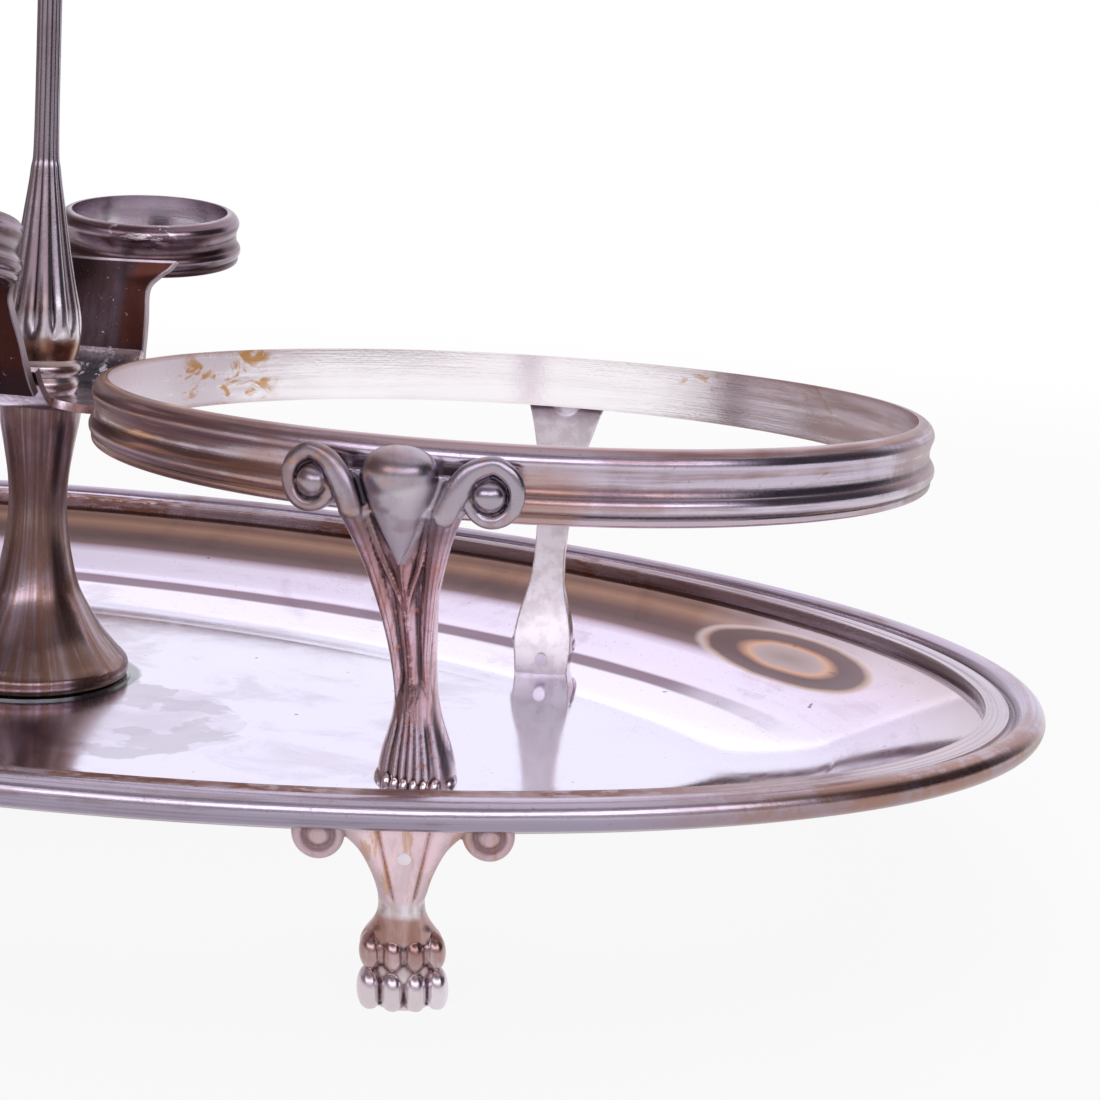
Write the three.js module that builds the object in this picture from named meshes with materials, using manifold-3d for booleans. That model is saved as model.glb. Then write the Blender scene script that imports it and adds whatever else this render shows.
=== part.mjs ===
// A cruet stand of plated silver for two bottles: an oval tray on four paw feet, two bottle rings on
// scrolled legs, a column with a bridge plate, two stopper rings on straps, and a fluted handle.
// Millimetres. Z is up from the table, X runs along the tray and the front faces -Y.

import * as THREE from "three";
import { mergeVertices } from "three/addons/utils/BufferGeometryUtils.js";
import Module from "manifold-3d";

const wasm = await Module();
wasm.setup();

// Fits
const solderGap = 0.3; // between two soldered pieces
const rodClearance = 0.25; // round the tie rod, in every hole that it passes
const pinClearance = 0.12; // round a foot pin or a leg stud in its hole

// Tray and rim
const trayLength = 211.8; // over the rim bead
const trayWidth = 121; // over the rim bead
const rimHeight = 16.6; // middle of the rim bead above the table
const rimBeadRadius = 1.3;
const rimBandWidth = 4.1; // from the middle of the bead to the band's inner side
const rimRidgeInset = 2.65; // from the middle of the bead to the middle of the ridge
const rimRidgeWidth = 1.3;
const rimRidgeHeight = 0.42; // above the middle of the bead
const rimUnderside = 0.7; // below the middle of the bead
const wellHeight = 7.3; // flat of the tray above the table
const slopeWidth = 27.4; // the tray's slope and dish, between the rim band and the flat
const sheetThickness = 0.9; // tray
const columnSeatRise = 0.2; // low round seat on the flat, under the column

// Bottle rings
const bottleRingBore = 80;
const bottleRingPitch = 104.8; // between the middles of the two rings
const bottleRingTop = 43.7; // above the table
const bandHeight = 6.2; // of a ring's moulded band
const bandThickness = 1.8; // at its upper bead

// Legs
const legFootReach = 24; // from the ring's axis to the back of the leg's paw
const legFootShift = 1.4; // sideways, the foot against the leg's top
const legTurn = 1.65; // degrees, how far a leg stands off its ring's cross line, round the ring
const legSeatHeight = 8.1; // the paw's back edge above the table
const legPawWidth = 7.6;
const legNeckWidth = 4.3;
const legShoulderWidth = 9.4; // just below the ring
const legPawDepth = 4.8;
const legDepth = 2.8;
const legVoluteSpacing = 15;
const legVoluteRadius = 2.6;
const legVoluteDrop = 4.1; // below the ring's top edge
const legBossWidth = 5.4;
const legBossTop = 0.7; // below the ring's top edge
const legBossLength = 9.4;
const legStudRadius = 0.7;
const legStudHeight = 1.5; // above the paw's back edge
const legStudLength = 1.6;

// Feet
const footTurn = 56.3; // degrees, the place on the rim oval, as the oval's own angle
const footInset = 2.4; // from the rim bead's line to the middle of the sole
const footPawWidth = 7;
const footPawDepth = 7;
const footToeHeight = 3.1;
const footKnuckleHeight = 5.5;
const footNeckWidth = 3.4;
const footNeckHeight = 7.3;
const footVoluteSpacing = 13;
const footVoluteRadius = 2.1;
const footVoluteDrop = 2.4; // below the middle of the rim bead
const footPinRadius = 0.55;
const footPinDrop = 4.5; // below the middle of the rim bead
const footPinLength = 1.7;

// Column
const columnBaseRadius = 10.5;
const columnBeadHeight = 2.2; // rounded edge of the foot
const columnNeckRadius = 3.2;
const columnTopRadius = 4.6;
const columnWall = 1.2;

// Bridge plate and straps
const plateHeight = 39.2; // top face above the table
const plateThickness = 0.9;
const plateFlatReach = 6.5; // from the axis to where an end turns up
const plateEndReach = 12.4; // from the axis to a turned-up end
const plateEndRise = 4.2; // above the plate
const plateEndWidth = 12.6;
const strapThickness = 0.9;
const strapLap = 2.2; // on the turned-up end of the plate
const strapWaistWidth = 10.4;
const strapSeatWidth = 15; // where it hugs its stopper ring

// Stopper rings
const stopperRingBore = 19.2;
const stopperRingReach = 27.6; // from the axis to the ring's middle
const stopperRingTop = 59.4; // at the ring's middle
const stopperRingTilt = 9.7; // degrees, the outer side up
const stopperRingRoll = 3.5; // degrees, bent in use, the +X side down

// Handle
const washerRadius = 4.2;
const washerHeight = 1.9;
const collarRadius = 4.4;
const collarHeight = 1.9;
const stemFootRadius = 3.8;
const stemBellyRadius = 4.3;
const stemShaftRadius = 1.35;
const stemHeight = 74;
const stemTaperHeight = 25; // of the belly and its taper, above the stem's foot
const stemFlutes = 12;
const stemFluteDepth = 0.12; // share of the radius
const knopRadius = 4.4;
const knopHeight = 7.2;
const loopWidth = 38; // over the wire
const loopHeight = 46.6; // over the wire
const loopWireRadius = 2.1;

// Tie rod and its fastening under the tray
const rodRadius = 1.5;
const rodGrip = 5; // into the stem
const baseWasherRadius = 5;
const baseWasherThickness = 0.7;
const nutAcrossCorners = 7.4;
const nutThickness = 2.4;
const rodEnd = 0.6; // past the nut

// Facets
const ovalFacets = 56;
const bottleRingFacets = 48;
const stopperRingFacets = 24;
const turnedFacets = 20;
const smallFacets = 12;

const silver = { color: 0xb9b2ba, roughness: 0.24, metalness: 1 };
const wornSilver = { color: 0xa39696, roughness: 0.3, metalness: 1 };
const brownSilver = { color: 0x84706a, roughness: 0.36, metalness: 1 };
const brass = { color: 0x9c8154, roughness: 0.42, metalness: 1 };

const stand = new THREE.Group();

function addPiece(name, geometry, finish) {
  const mesh = new THREE.Mesh(geometry, new THREE.MeshStandardMaterial(finish));
  mesh.name = name;
  stand.add(mesh);
}

// Joins rings of points into one closed body. The points of a ring run anticlockwise as seen from
// the next ring. The first and last ring are capped, or joined to each other when the row is endless.
function loft(rings, endless = false) {
  const count = rings[0].length;
  const points = rings.flat();
  const faces = [];
  const lastStep = endless ? rings.length : rings.length - 1;
  for (let step = 0; step < lastStep; step += 1) {
    const here = step * count;
    const next = ((step + 1) % rings.length) * count;
    for (let i = 0; i < count; i += 1) {
      const j = (i + 1) % count;
      faces.push(here + i, here + j, next + j, here + i, next + j, next + i);
    }
  }
  if (!endless) {
    const middle = (ring) =>
      ring.reduce((sum, p) => sum.add(p), new THREE.Vector3()).divideScalar(count);
    const first = points.push(middle(rings[0])) - 1;
    const last = points.push(middle(rings.at(-1))) - 1;
    const top = (rings.length - 1) * count;
    for (let i = 0; i < count; i += 1) {
      const j = (i + 1) % count;
      faces.push(first, j, i, last, top + i, top + j);
    }
  }
  return new THREE.BufferGeometry().setFromPoints(points).setIndex(faces);
}

// Turns a closed or axis-to-axis outline of [radius, height] about Z. It runs upwards on the outside.
function turned(outline, facets) {
  const points = outline.map(([radius, height]) => new THREE.Vector2(radius, height));
  return new THREE.LatheGeometry(points, facets).rotateX(Math.PI / 2);
}

function tubeOutline(outer, inner, low, high) {
  return [[inner, low], [outer, low], [outer, high], [inner, high], [inner, low]];
}

function rodOutline(radius, low, high) {
  return [[0, low], [radius, low], [radius, high], [0, high]];
}

// A smooth row of [radius, height] points through the given ones.
function smoothOutline(outline, steps) {
  const curve = new THREE.SplineCurve(outline.map(([r, z]) => new THREE.Vector2(r, z)));
  return curve.getPoints(steps).map((p) => [p.x, p.y]);
}

function solid(geometry) {
  const bare = geometry.clone();
  bare.deleteAttribute("normal");
  bare.deleteAttribute("uv");
  const merged = mergeVertices(bare);
  const mesh = new wasm.Mesh({
    numProp: 3,
    vertProperties: merged.attributes.position.array,
    triVerts: new Uint32Array(merged.index.array),
  });
  return new wasm.Manifold(mesh);
}

function geometryOf(body) {
  const mesh = body.getMesh();
  return new THREE.BufferGeometry()
    .setAttribute("position", new THREE.BufferAttribute(mesh.vertProperties, 3))
    .setIndex(new THREE.BufferAttribute(mesh.triVerts, 1));
}

function joined(geometries) {
  return geometries.map(solid).reduce((body, more) => body.add(more));
}

const interpolate = THREE.MathUtils.lerp;

// Oval rim and tray

const rimAngles = Array.from({ length: ovalFacets }, (_, i) => (2 * Math.PI * i) / ovalFacets);
const rimHalfLength = trayLength / 2 - rimBeadRadius;
const rimHalfWidth = trayWidth / 2 - rimBeadRadius;

function rimNormal(angle) {
  const across = new THREE.Vector3(
    Math.cos(angle) / rimHalfLength,
    Math.sin(angle) / rimHalfWidth,
    0,
  );
  return across.normalize();
}

// The point on the rim bead's oval, moved in along the oval's normal and up from the bead's middle.
function rimPoint(angle, inset, rise) {
  const onOval = new THREE.Vector3(
    rimHalfLength * Math.cos(angle),
    rimHalfWidth * Math.sin(angle),
    rimHeight + rise,
  );
  return onOval.addScaledVector(rimNormal(angle), -inset);
}

function sweepRound(section) {
  return loft(rimAngles.map((angle) => section.map(([inset, rise]) => rimPoint(angle, inset, rise))), true);
}

function rimBand() {
  const grooveRise = -0.1;
  const grooveInset = 1.6;
  const innerEdgeRise = -0.15;
  const ridgeSide = rimRidgeWidth / 2;
  const bead = [15, 50, 90, 135, 180, 225, 270].map((degrees) => {
    const turn = THREE.MathUtils.degToRad(degrees);
    return [rimBeadRadius * Math.cos(turn), rimBeadRadius * Math.sin(turn)];
  });
  return sweepRound([
    [rimBandWidth, -rimUnderside],
    [rimBandWidth, innerEdgeRise],
    [rimRidgeInset + ridgeSide, 0],
    [rimRidgeInset + ridgeSide * 0.6, rimRidgeHeight * 0.8],
    [rimRidgeInset, rimRidgeHeight],
    [rimRidgeInset - ridgeSide * 0.6, rimRidgeHeight * 0.8],
    [rimRidgeInset - ridgeSide, 0],
    [grooveInset, grooveRise],
    ...bead,
    [rimBeadRadius / 2, -rimUnderside],
  ]);
}

// The tray's upper face from the flange's edge inwards, as [inset, rise]: a straight slope, a quick
// bend and a shallow dish that runs out in the flat.
const flangeRise = -rimUnderside - solderGap;
const flangeEdge = 1.1;
const slopeEnd = rimBandWidth + slopeWidth;
const slopeShares = [
  [0, 0],
  [0.23, 0.345],
  [0.45, 0.68],
  [0.5, 0.745],
  [0.55, 0.797],
  [0.64, 0.867],
  [0.75, 0.931],
  [0.87, 0.979],
  [1, 1],
];
const trayFace = [
  [flangeEdge, flangeRise],
  ...slopeShares.map(([inwards, down]) => [
    rimBandWidth + slopeWidth * inwards,
    interpolate(flangeRise, wellHeight - rimHeight, down),
  ]),
];

// The tray's upper face moved down by a distance, square to itself.
function below(distance) {
  const down = new THREE.Vector2(0, -1);
  const normalAfter = (i) => {
    const [inset, rise] = trayFace[i];
    const [nextInset, nextRise] = trayFace[i + 1];
    return new THREE.Vector2(nextRise - rise, inset - nextInset).normalize();
  };
  return trayFace.map(([inset, rise], i) => {
    const before = i > 0 ? normalAfter(i - 1) : down;
    const after = i < trayFace.length - 1 ? normalAfter(i) : down;
    const mitre = distance / (1 + before.dot(after));
    return [inset + mitre * (before.x + after.x), rise + mitre * (before.y + after.y)];
  });
}

function tray() {
  const holeRadius = rodRadius + rodClearance;
  const seatRadius = columnBaseRadius + solderGap;
  const seatHeight = wellHeight + columnSeatRise;
  const section = [...trayFace.toReversed(), ...below(sheetThickness)];
  const stations = rimAngles.map((angle) => {
    const round = [
      [holeRadius, wellHeight - sheetThickness],
      [holeRadius, seatHeight],
      [seatRadius, seatHeight],
      [seatRadius, wellHeight],
    ].map(([radius, z]) => new THREE.Vector3(radius * Math.cos(angle), radius * Math.sin(angle), z));
    return [...round, ...section.map(([inset, rise]) => rimPoint(angle, inset, rise))];
  });
  return loft(stations, true);
}

// The room that the tray and its solder take up. What stands under the tray is cut by the one, and
// what stands on the slope by the other.
function trayRoom() {
  const offset = sheetThickness + solderGap;
  const spare = 4;
  return sweepRound([
    [slopeEnd, flangeRise + spare],
    [-rimBeadRadius - spare, flangeRise + spare],
    [-rimBeadRadius - spare, flangeRise - offset],
    ...below(offset),
  ]);
}

function trayBed() {
  return sweepRound([...below(-solderGap).toReversed(), [flangeEdge, -rimHeight], [slopeEnd, -rimHeight]]);
}

// Moulded bands of the rings: [out from the bore, down from the top edge]

const bandMoulding = [
  [0, 1],
  [0.5, 0.96],
  [0.86, 0.84],
  [1, 0.7],
  [0.87, 0.58],
  [0.7, 0.43],
  [0.96, 0.24],
  [0.83, 0.11],
  [0.5, 0.02],
  [0, 0],
];

function ringBand(bore, facets) {
  const outline = bandMoulding.map(([out, up]) => [bore / 2 + bandThickness * out, bandHeight * (up - 1)]);
  outline.reverse();
  outline.push(outline[0]);
  return turned(outline, facets);
}

// Sections of the cast legs and feet: flat behind, round in front, with lobes for toes.
// x runs across, y outwards and z up.

function castSection({ half, back, depth, z, lobes = 0, lobeCount = 5 }) {
  const frontPoints = lobeCount * 2;
  const front = Array.from({ length: frontPoints + 1 }, (_, i) => {
    const turn = (Math.PI * i) / frontPoints;
    const dip = i % 2 === 0 ? 1 - lobes : 1;
    return new THREE.Vector3(half * dip * Math.cos(turn), back + depth * (0.3 + 0.7 * dip * Math.sin(turn)), z);
  });
  const rear = 0.9 * half;
  return [...front, new THREE.Vector3(-rear, back, z), new THREE.Vector3(rear, back, z)];
}

// A scroll's disc with its eye, facing +y.
function volute(radius, depth) {
  const disc = turned(
    [[0, 0], [radius, 0], [radius, depth * 0.7], [radius * 0.72, depth], [radius * 0.38, depth * 0.72], [0, depth]],
    smallFacets,
  );
  return disc.rotateX(-Math.PI / 2);
}

function pin(radius, length) {
  return turned(rodOutline(radius, 0, length), smallFacets).rotateX(-Math.PI / 2);
}

// Legs, in the frame of their bottle ring: the origin on the ring's axis at the table, y outwards

const ringOuterRadius = bottleRingBore / 2 + bandThickness;
const legHeight = bottleRingTop - legSeatHeight;
const legTopReach = ringOuterRadius + solderGap;
const legBend = 0.84; // share of the height below the ring, where the leg leans in

function legBack(share) {
  const bend = THREE.MathUtils.clamp(share / legBend, 0, 1);
  return interpolate(legFootReach, legTopReach, bend ** 1.4);
}

function legShift(share) {
  return interpolate(legFootShift, 0, THREE.MathUtils.clamp(share / legBend, 0, 1));
}

function legGeometry() {
  const scrollWidth = legVoluteSpacing + legVoluteRadius * 0.6;
  const stations = [
    [-0.04, legPawWidth, legPawDepth, 0.14],
    [0.04, legPawWidth, legPawDepth, 0.14],
    [0.12, legPawWidth, legPawDepth * 0.92, 0.12],
    [0.18, legPawWidth * 0.92, legPawDepth * 0.84, 0.1],
    [0.23, interpolate(legNeckWidth, legPawWidth, 0.6), legDepth * 1.2, 0.07],
    [0.29, interpolate(legNeckWidth, legPawWidth, 0.15), legDepth, 0.03],
    [0.38, legNeckWidth, legDepth, 0],
    [0.49, interpolate(legNeckWidth, legShoulderWidth, 0.13), legDepth, 0],
    [0.59, interpolate(legNeckWidth, legShoulderWidth, 0.3), legDepth, 0],
    [0.69, interpolate(legNeckWidth, legShoulderWidth, 0.57), legDepth, 0],
    [0.81, legShoulderWidth, legDepth, 0],
    [0.89, interpolate(legShoulderWidth, scrollWidth, 0.3), legDepth * 0.85, 0],
    [0.95, scrollWidth, legDepth * 0.75, 0],
    [0.99, scrollWidth * 0.94, legDepth * 0.6, 0],
  ];
  const body = loft(
    stations.map(([share, width, depth, lobes]) => {
      const z = legSeatHeight + legHeight * share;
      const section = castSection({ half: width / 2, back: legBack(share), depth, z, lobes });
      return section.map((point) => point.setX(point.x + legShift(share)));
    }),
  );
  const scrolls = [-1, 1].map((side) =>
    volute(legVoluteRadius, legDepth + solderGap).translate(
      (side * legVoluteSpacing) / 2,
      legTopReach - solderGap,
      bottleRingTop - legVoluteDrop,
    ),
  );
  const bossRadius = legBossWidth / 2;
  const boss = turned(
    [[0, 0], [0.6, 0.27], [0.93, 0.53], [1, 0.75], [0.7, 0.93], [0, 1]].map(([r, up]) => [
      bossRadius * r,
      legBossLength * up,
    ]),
    smallFacets,
  ).translate(0, legTopReach + legDepth * 0.5, bottleRingTop - legBossTop - legBossLength);
  const ringRoom = turned(
    rodOutline(legTopReach, bottleRingTop - bandHeight - solderGap, bottleRingTop + bandHeight),
    bottleRingFacets,
  );
  const studHole = pin(legStudRadius + pinClearance, legStudLength + 1).translate(
    legFootShift,
    legFootReach - 1,
    legSeatHeight + legStudHeight,
  );
  return geometryOf(joined([body, ...scrolls, boss]).subtract(solid(ringRoom)).subtract(solid(studHole)));
}

// A leg set in its place and cut to stand on the tray's slope.
function legBody(geometry, turn, x) {
  const placed = geometry.clone().rotateZ(turn).translate(x, 0, 0);
  return geometryOf(solid(placed).subtract(solid(trayBed())));
}

function legStud() {
  const proud = 0.4;
  return pin(legStudRadius, legStudLength + proud - pinClearance).translate(
    legFootShift,
    legFootReach - proud,
    legSeatHeight + legStudHeight,
  );
}

// Feet, in a frame at the middle of the sole, y outwards

const footTop = rimHeight + flangeRise - sheetThickness - solderGap;
const footVoluteHeight = rimHeight - footVoluteDrop;
const footPinHeight = rimHeight - footPinDrop;

function footGeometry() {
  const halfPaw = footPawWidth / 2;
  const halfNeck = footNeckWidth / 2;
  const halfTop = footVoluteSpacing / 2;
  const heel = -footPawDepth * 0.48;
  const neckBack = -2.2;
  const neckDepth = 2.8;
  const rise = (share) => interpolate(footNeckHeight, footTop, share);
  const stations = [
    [0, halfPaw * 0.93, heel, footPawDepth * 0.94, 0.12],
    [footToeHeight * 0.3, halfPaw, heel, footPawDepth, 0.14],
    [footToeHeight * 0.8, halfPaw * 0.97, heel, footPawDepth * 0.97, 0.14],
    [footToeHeight, halfPaw * 0.88, heel, footPawDepth * 0.86, 0.1],
    [interpolate(footToeHeight, footKnuckleHeight, 0.2), halfPaw * 0.95, heel, footPawDepth * 0.88, 0.12],
    [interpolate(footToeHeight, footKnuckleHeight, 0.6), halfPaw * 0.93, heel * 0.95, footPawDepth * 0.8, 0.12],
    [footKnuckleHeight, halfPaw * 0.76, heel * 0.85, footPawDepth * 0.65, 0.08],
    [interpolate(footKnuckleHeight, footNeckHeight, 0.5), interpolate(halfPaw, halfNeck, 0.85), neckBack, 3.2, 0.03],
    [footNeckHeight, halfNeck, neckBack, neckDepth, 0],
    [rise(0.2), interpolate(halfNeck, halfTop, 0.06), neckBack, neckDepth, 0],
    [rise(0.4), interpolate(halfNeck, halfTop, 0.2), neckBack * 0.9, neckDepth, 0],
    [rise(0.6), interpolate(halfNeck, halfTop, 0.42), neckBack * 0.75, neckDepth * 1.05, 0],
    [rise(0.8), interpolate(halfNeck, halfTop, 0.7), neckBack * 0.5, neckDepth * 1.1, 0],
    [footTop, halfTop, neckBack * 0.2, neckDepth, 0],
  ];
  const body = loft(
    stations.map(([z, half, back, depth, lobes]) => castSection({ half, back, depth, z, lobes, lobeCount: 4 })),
  );
  const voluteDepth = 2;
  const scrolls = [-1, 1].map((side) =>
    volute(footVoluteRadius, voluteDepth).translate(side * halfTop, 0, footVoluteHeight),
  );
  return { shapes: [body, ...scrolls], panelFront: neckBack * 0.75 + neckDepth * 1.05 };
}

const foot = footGeometry();

function footPlace(angle) {
  const outwards = rimNormal(angle);
  const sole = rimPoint(angle, footInset, -rimHeight);
  const place = new THREE.Matrix4().makeRotationZ(Math.atan2(-outwards.x, outwards.y));
  return place.setPosition(sole);
}

function footPin(spare) {
  const proud = 0.08;
  const length = footPinLength + (spare ? 1 : 0);
  const radius = footPinRadius + (spare ? pinClearance : 0);
  const back = foot.panelFront + proud - footPinLength - (spare ? pinClearance : 0);
  return pin(radius, length).translate(0, back, footPinHeight);
}

function footBody(angle) {
  const place = footPlace(angle);
  const cast = joined(foot.shapes.map((shape) => shape.clone().applyMatrix4(place)));
  const hole = solid(footPin(true).applyMatrix4(place));
  return geometryOf(cast.subtract(solid(trayRoom())).subtract(hole));
}

// Column and bridge plate

const boreRadius = rodRadius + rodClearance;
const plateBottom = plateHeight - plateThickness;
const columnFoot = wellHeight + columnSeatRise;
const columnHeight = plateBottom - solderGap - columnFoot;

function column() {
  const bead = [[0.95, 0], [0.99, 0.2], [1, 0.5], [0.975, 0.85]].map(([r, up]) => [
    columnBaseRadius * r,
    (columnBeadHeight * up) / columnHeight,
  ]);
  const shaft = smoothOutline(
    [
      [columnBaseRadius * 0.94, columnBeadHeight / columnHeight],
      [interpolate(columnNeckRadius, columnBaseRadius, 0.6), 0.163],
      [interpolate(columnNeckRadius, columnBaseRadius, 0.28), 0.29],
      [interpolate(columnNeckRadius, columnBaseRadius, 0.11), 0.42],
      [columnNeckRadius, 0.62],
      [interpolate(columnNeckRadius, columnTopRadius, 0.2), 0.74],
      [interpolate(columnNeckRadius, columnTopRadius, 0.75), 0.88],
      [columnTopRadius, 1],
    ],
    11,
  );
  const hollow = [
    [boreRadius, 1],
    [boreRadius, 0.5],
    [interpolate(boreRadius, columnBaseRadius - columnWall, 0.3), 0.2],
    [columnBaseRadius - columnWall, 0],
  ];
  const outline = [...bead, ...shaft, ...hollow, bead[0]];
  return turned(
    outline.map(([radius, share]) => [radius, columnFoot + columnHeight * share]),
    turnedFacets,
  );
}

// A bent strip: rows of {y, z, half, bow}, with the sheet's thickness laid on the side of y.
// A row bows outwards from its middle as the circle of radius bow does.
function strip(rows, thickness) {
  const across = 4;
  const rings = rows.map(({ y, z, half, bow }, i) => {
    const before = rows[Math.max(i - 1, 0)];
    const after = rows[Math.min(i + 1, rows.length - 1)];
    const run = new THREE.Vector2(after.y - before.y, after.z - before.z).normalize();
    const bowed = (x) => (bow ? bow - Math.sqrt(bow * bow - x * x) : 0);
    const line = Array.from({ length: across + 1 }, (_, k) => half * ((2 * k) / across - 1));
    const inner = line.map((x) => new THREE.Vector3(x, y + bowed(x), z));
    const outer = line.map(
      (x) => new THREE.Vector3(x, y + bowed(x) + thickness * run.y, z - thickness * run.x),
    );
    return [...inner, ...outer.reverse()];
  });
  return loft(rings);
}

// The plate's upper face, from the middle to a turned-up end, as [y, z].
function plateLine(steps) {
  const bend = new THREE.QuadraticBezierCurve(
    new THREE.Vector2(plateFlatReach, plateHeight),
    new THREE.Vector2(interpolate(plateFlatReach, plateEndReach, 0.66), plateHeight),
    new THREE.Vector2(plateEndReach, plateHeight + plateEndRise),
  );
  return bend.getPoints(steps).map((p) => [p.x, p.y]);
}

// Half the plate's width at y: it fills the room between the two rings and narrows at its ends.
function plateHalf(y) {
  const room = bottleRingPitch / 2 - Math.sqrt((ringOuterRadius + solderGap) ** 2 - y * y);
  const share = Math.max((Math.abs(y) - plateFlatReach) / (plateEndReach - plateFlatReach), 0);
  return Math.min(room, interpolate(room, plateEndWidth / 2, Math.min(share * 2, 1)));
}

function bridgePlate() {
  const bend = plateLine(5).map(([y, z]) => ({ y, z, half: plateHalf(y) }));
  const flat = [0.7, 0.35, 0].map((share) => {
    const y = plateFlatReach * share;
    return { y, z: plateHeight, half: plateHalf(y) };
  });
  const halfRows = [...flat.reverse(), ...bend];
  const mirrored = halfRows.slice(1).reverse().map((row) => ({ ...row, y: -row.y }));
  const sheet = strip([...mirrored, ...halfRows], plateThickness);
  const hole = turned(rodOutline(boreRadius, plateBottom - 1, plateHeight + 1), smallFacets);
  return geometryOf(solid(sheet).subtract(solid(hole)));
}

// Stopper rings and their straps, for the back; the front ones are turned half round

const stopperOuterRadius = stopperRingBore / 2 + bandThickness;

function stopperPlace(roll) {
  const tilt = THREE.MathUtils.degToRad(stopperRingTilt);
  const turn = new THREE.Euler(tilt, THREE.MathUtils.degToRad(roll), 0);
  return new THREE.Matrix4()
    .makeRotationFromEuler(turn)
    .setPosition(0, stopperRingReach, stopperRingTop);
}

function stopperStrap(roll) {
  const [endY, endZ] = [plateEndReach, plateHeight + plateEndRise];
  const [nearY, nearZ] = plateLine(5).at(-2);
  const slope = new THREE.Vector2(endY - nearY, endZ - nearZ).normalize();
  const aside = (plateThickness + solderGap) * slope.y;
  const below = (plateThickness + solderGap) * slope.x;
  const tilt = THREE.MathUtils.degToRad(stopperRingTilt);
  const reach = stopperOuterRadius + solderGap + strapThickness;
  const lowBead = bandHeight * 0.76;
  const seatY = stopperRingReach - reach * Math.cos(tilt) + lowBead * Math.sin(tilt);
  const seatZ = stopperRingTop - reach * Math.sin(tilt) - lowBead * Math.cos(tilt);
  const foot = new THREE.Vector2(endY + aside, endZ - below);
  const seat = new THREE.Vector2(seatY, seatZ);
  const along = (share) => new THREE.Vector2().lerpVectors(foot, seat, share);
  const row = (point, width, bow) => ({ y: point.x, z: point.y, half: width / 2, bow });
  const seatBow = stopperOuterRadius + solderGap + strapThickness;
  const lapped = foot.clone().addScaledVector(slope, -strapLap);
  const rows = [
    row(lapped, plateEndWidth, 0),
    row(foot, plateEndWidth * 0.96, 0),
    row(along(0.4), interpolate(strapWaistWidth, plateEndWidth, 0.4), 0),
    row(along(0.75), strapWaistWidth, seatBow * 3),
    row(along(0.9), interpolate(strapWaistWidth, strapSeatWidth, 0.3), seatBow * 1.3),
    row(along(1), interpolate(strapWaistWidth, strapSeatWidth, 0.85), seatBow),
    row(along(1.12), strapSeatWidth, seatBow),
  ];
  const ringRoom = turned(
    rodOutline(stopperOuterRadius + solderGap, -bandHeight - solderGap, bandHeight),
    stopperRingFacets,
  ).applyMatrix4(stopperPlace(roll));
  return geometryOf(solid(strip(rows, strapThickness)).subtract(solid(ringRoom)));
}

// Handle

const washerBase = plateHeight;
const collarBase = washerBase + washerHeight;
const stemBase = collarBase + collarHeight;
const stemTop = stemBase + stemHeight;
const knopTop = stemTop + knopHeight;

function stem() {
  const fluteStart = 3; // above the stem's foot
  const outline = [
    [stemFootRadius, 0],
    [interpolate(stemFootRadius, stemBellyRadius, 0.8), stemTaperHeight * 0.09],
    [stemBellyRadius, stemTaperHeight * 0.16],
    [interpolate(stemShaftRadius, stemBellyRadius, 0.8), stemTaperHeight * 0.3],
    [interpolate(stemShaftRadius, stemBellyRadius, 0.58), stemTaperHeight * 0.45],
    [interpolate(stemShaftRadius, stemBellyRadius, 0.32), stemTaperHeight * 0.64],
    [interpolate(stemShaftRadius, stemBellyRadius, 0.1), stemTaperHeight * 0.82],
    [stemShaftRadius, stemTaperHeight],
    [stemShaftRadius, interpolate(stemTaperHeight, stemHeight, 0.5)],
    [stemShaftRadius * 1.15, stemHeight - 4],
    [stemShaftRadius * 1.6, stemHeight],
  ];
  const rings = outline.map(([radius, height]) =>
    Array.from({ length: stemFlutes * 2 }, (_, i) => {
      const turn = (Math.PI * i) / stemFlutes;
      const sunk = height > fluteStart && i % 2 ? 1 - stemFluteDepth : 1;
      return new THREE.Vector3(radius * sunk * Math.cos(turn), radius * sunk * Math.sin(turn), stemBase + height);
    }),
  );
  const socket = turned(
    rodOutline(boreRadius, stemBase - 1, stemBase + rodGrip + solderGap),
    smallFacets,
  );
  return geometryOf(solid(loft(rings)).subtract(solid(socket)));
}

function knop() {
  const half = knopHeight / 2;
  const outline = [[0, 0], [0.5, 0], [0.56, 0.16], [0.85, 0.3], [1, 0.5], [0.85, 0.7], [0.5, 0.86], [0.45, 1], [0, 1]];
  return turned(outline.map(([r, up]) => [knopRadius * r, stemTop + 2 * half * up]), turnedFacets);
}

function loopHandle() {
  const steps = 32;
  const sides = 8;
  const middle = knopTop + loopHeight / 2;
  const halfWidth = loopWidth / 2 - loopWireRadius;
  const halfHeight = loopHeight / 2 - loopWireRadius;
  const rings = Array.from({ length: steps }, (_, i) => {
    const turn = (2 * Math.PI * i) / steps;
    const centre = new THREE.Vector3(halfWidth * Math.sin(turn), 0, middle + halfHeight * Math.cos(turn));
    const outwards = new THREE.Vector3(Math.sin(turn) / halfWidth, 0, Math.cos(turn) / halfHeight).normalize();
    return Array.from({ length: sides }, (_, k) => {
      const round = (-2 * Math.PI * (k + 0.5)) / sides;
      const point = centre.clone().addScaledVector(outwards, loopWireRadius * Math.cos(round));
      point.y += loopWireRadius * Math.sin(round);
      return point;
    });
  });
  return loft(rings, true);
}

// Tie rod, washer and nut

const baseWasherTop = wellHeight - sheetThickness;
const nutTop = baseWasherTop - baseWasherThickness;
const rodBottom = nutTop - nutThickness - rodEnd;

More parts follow.
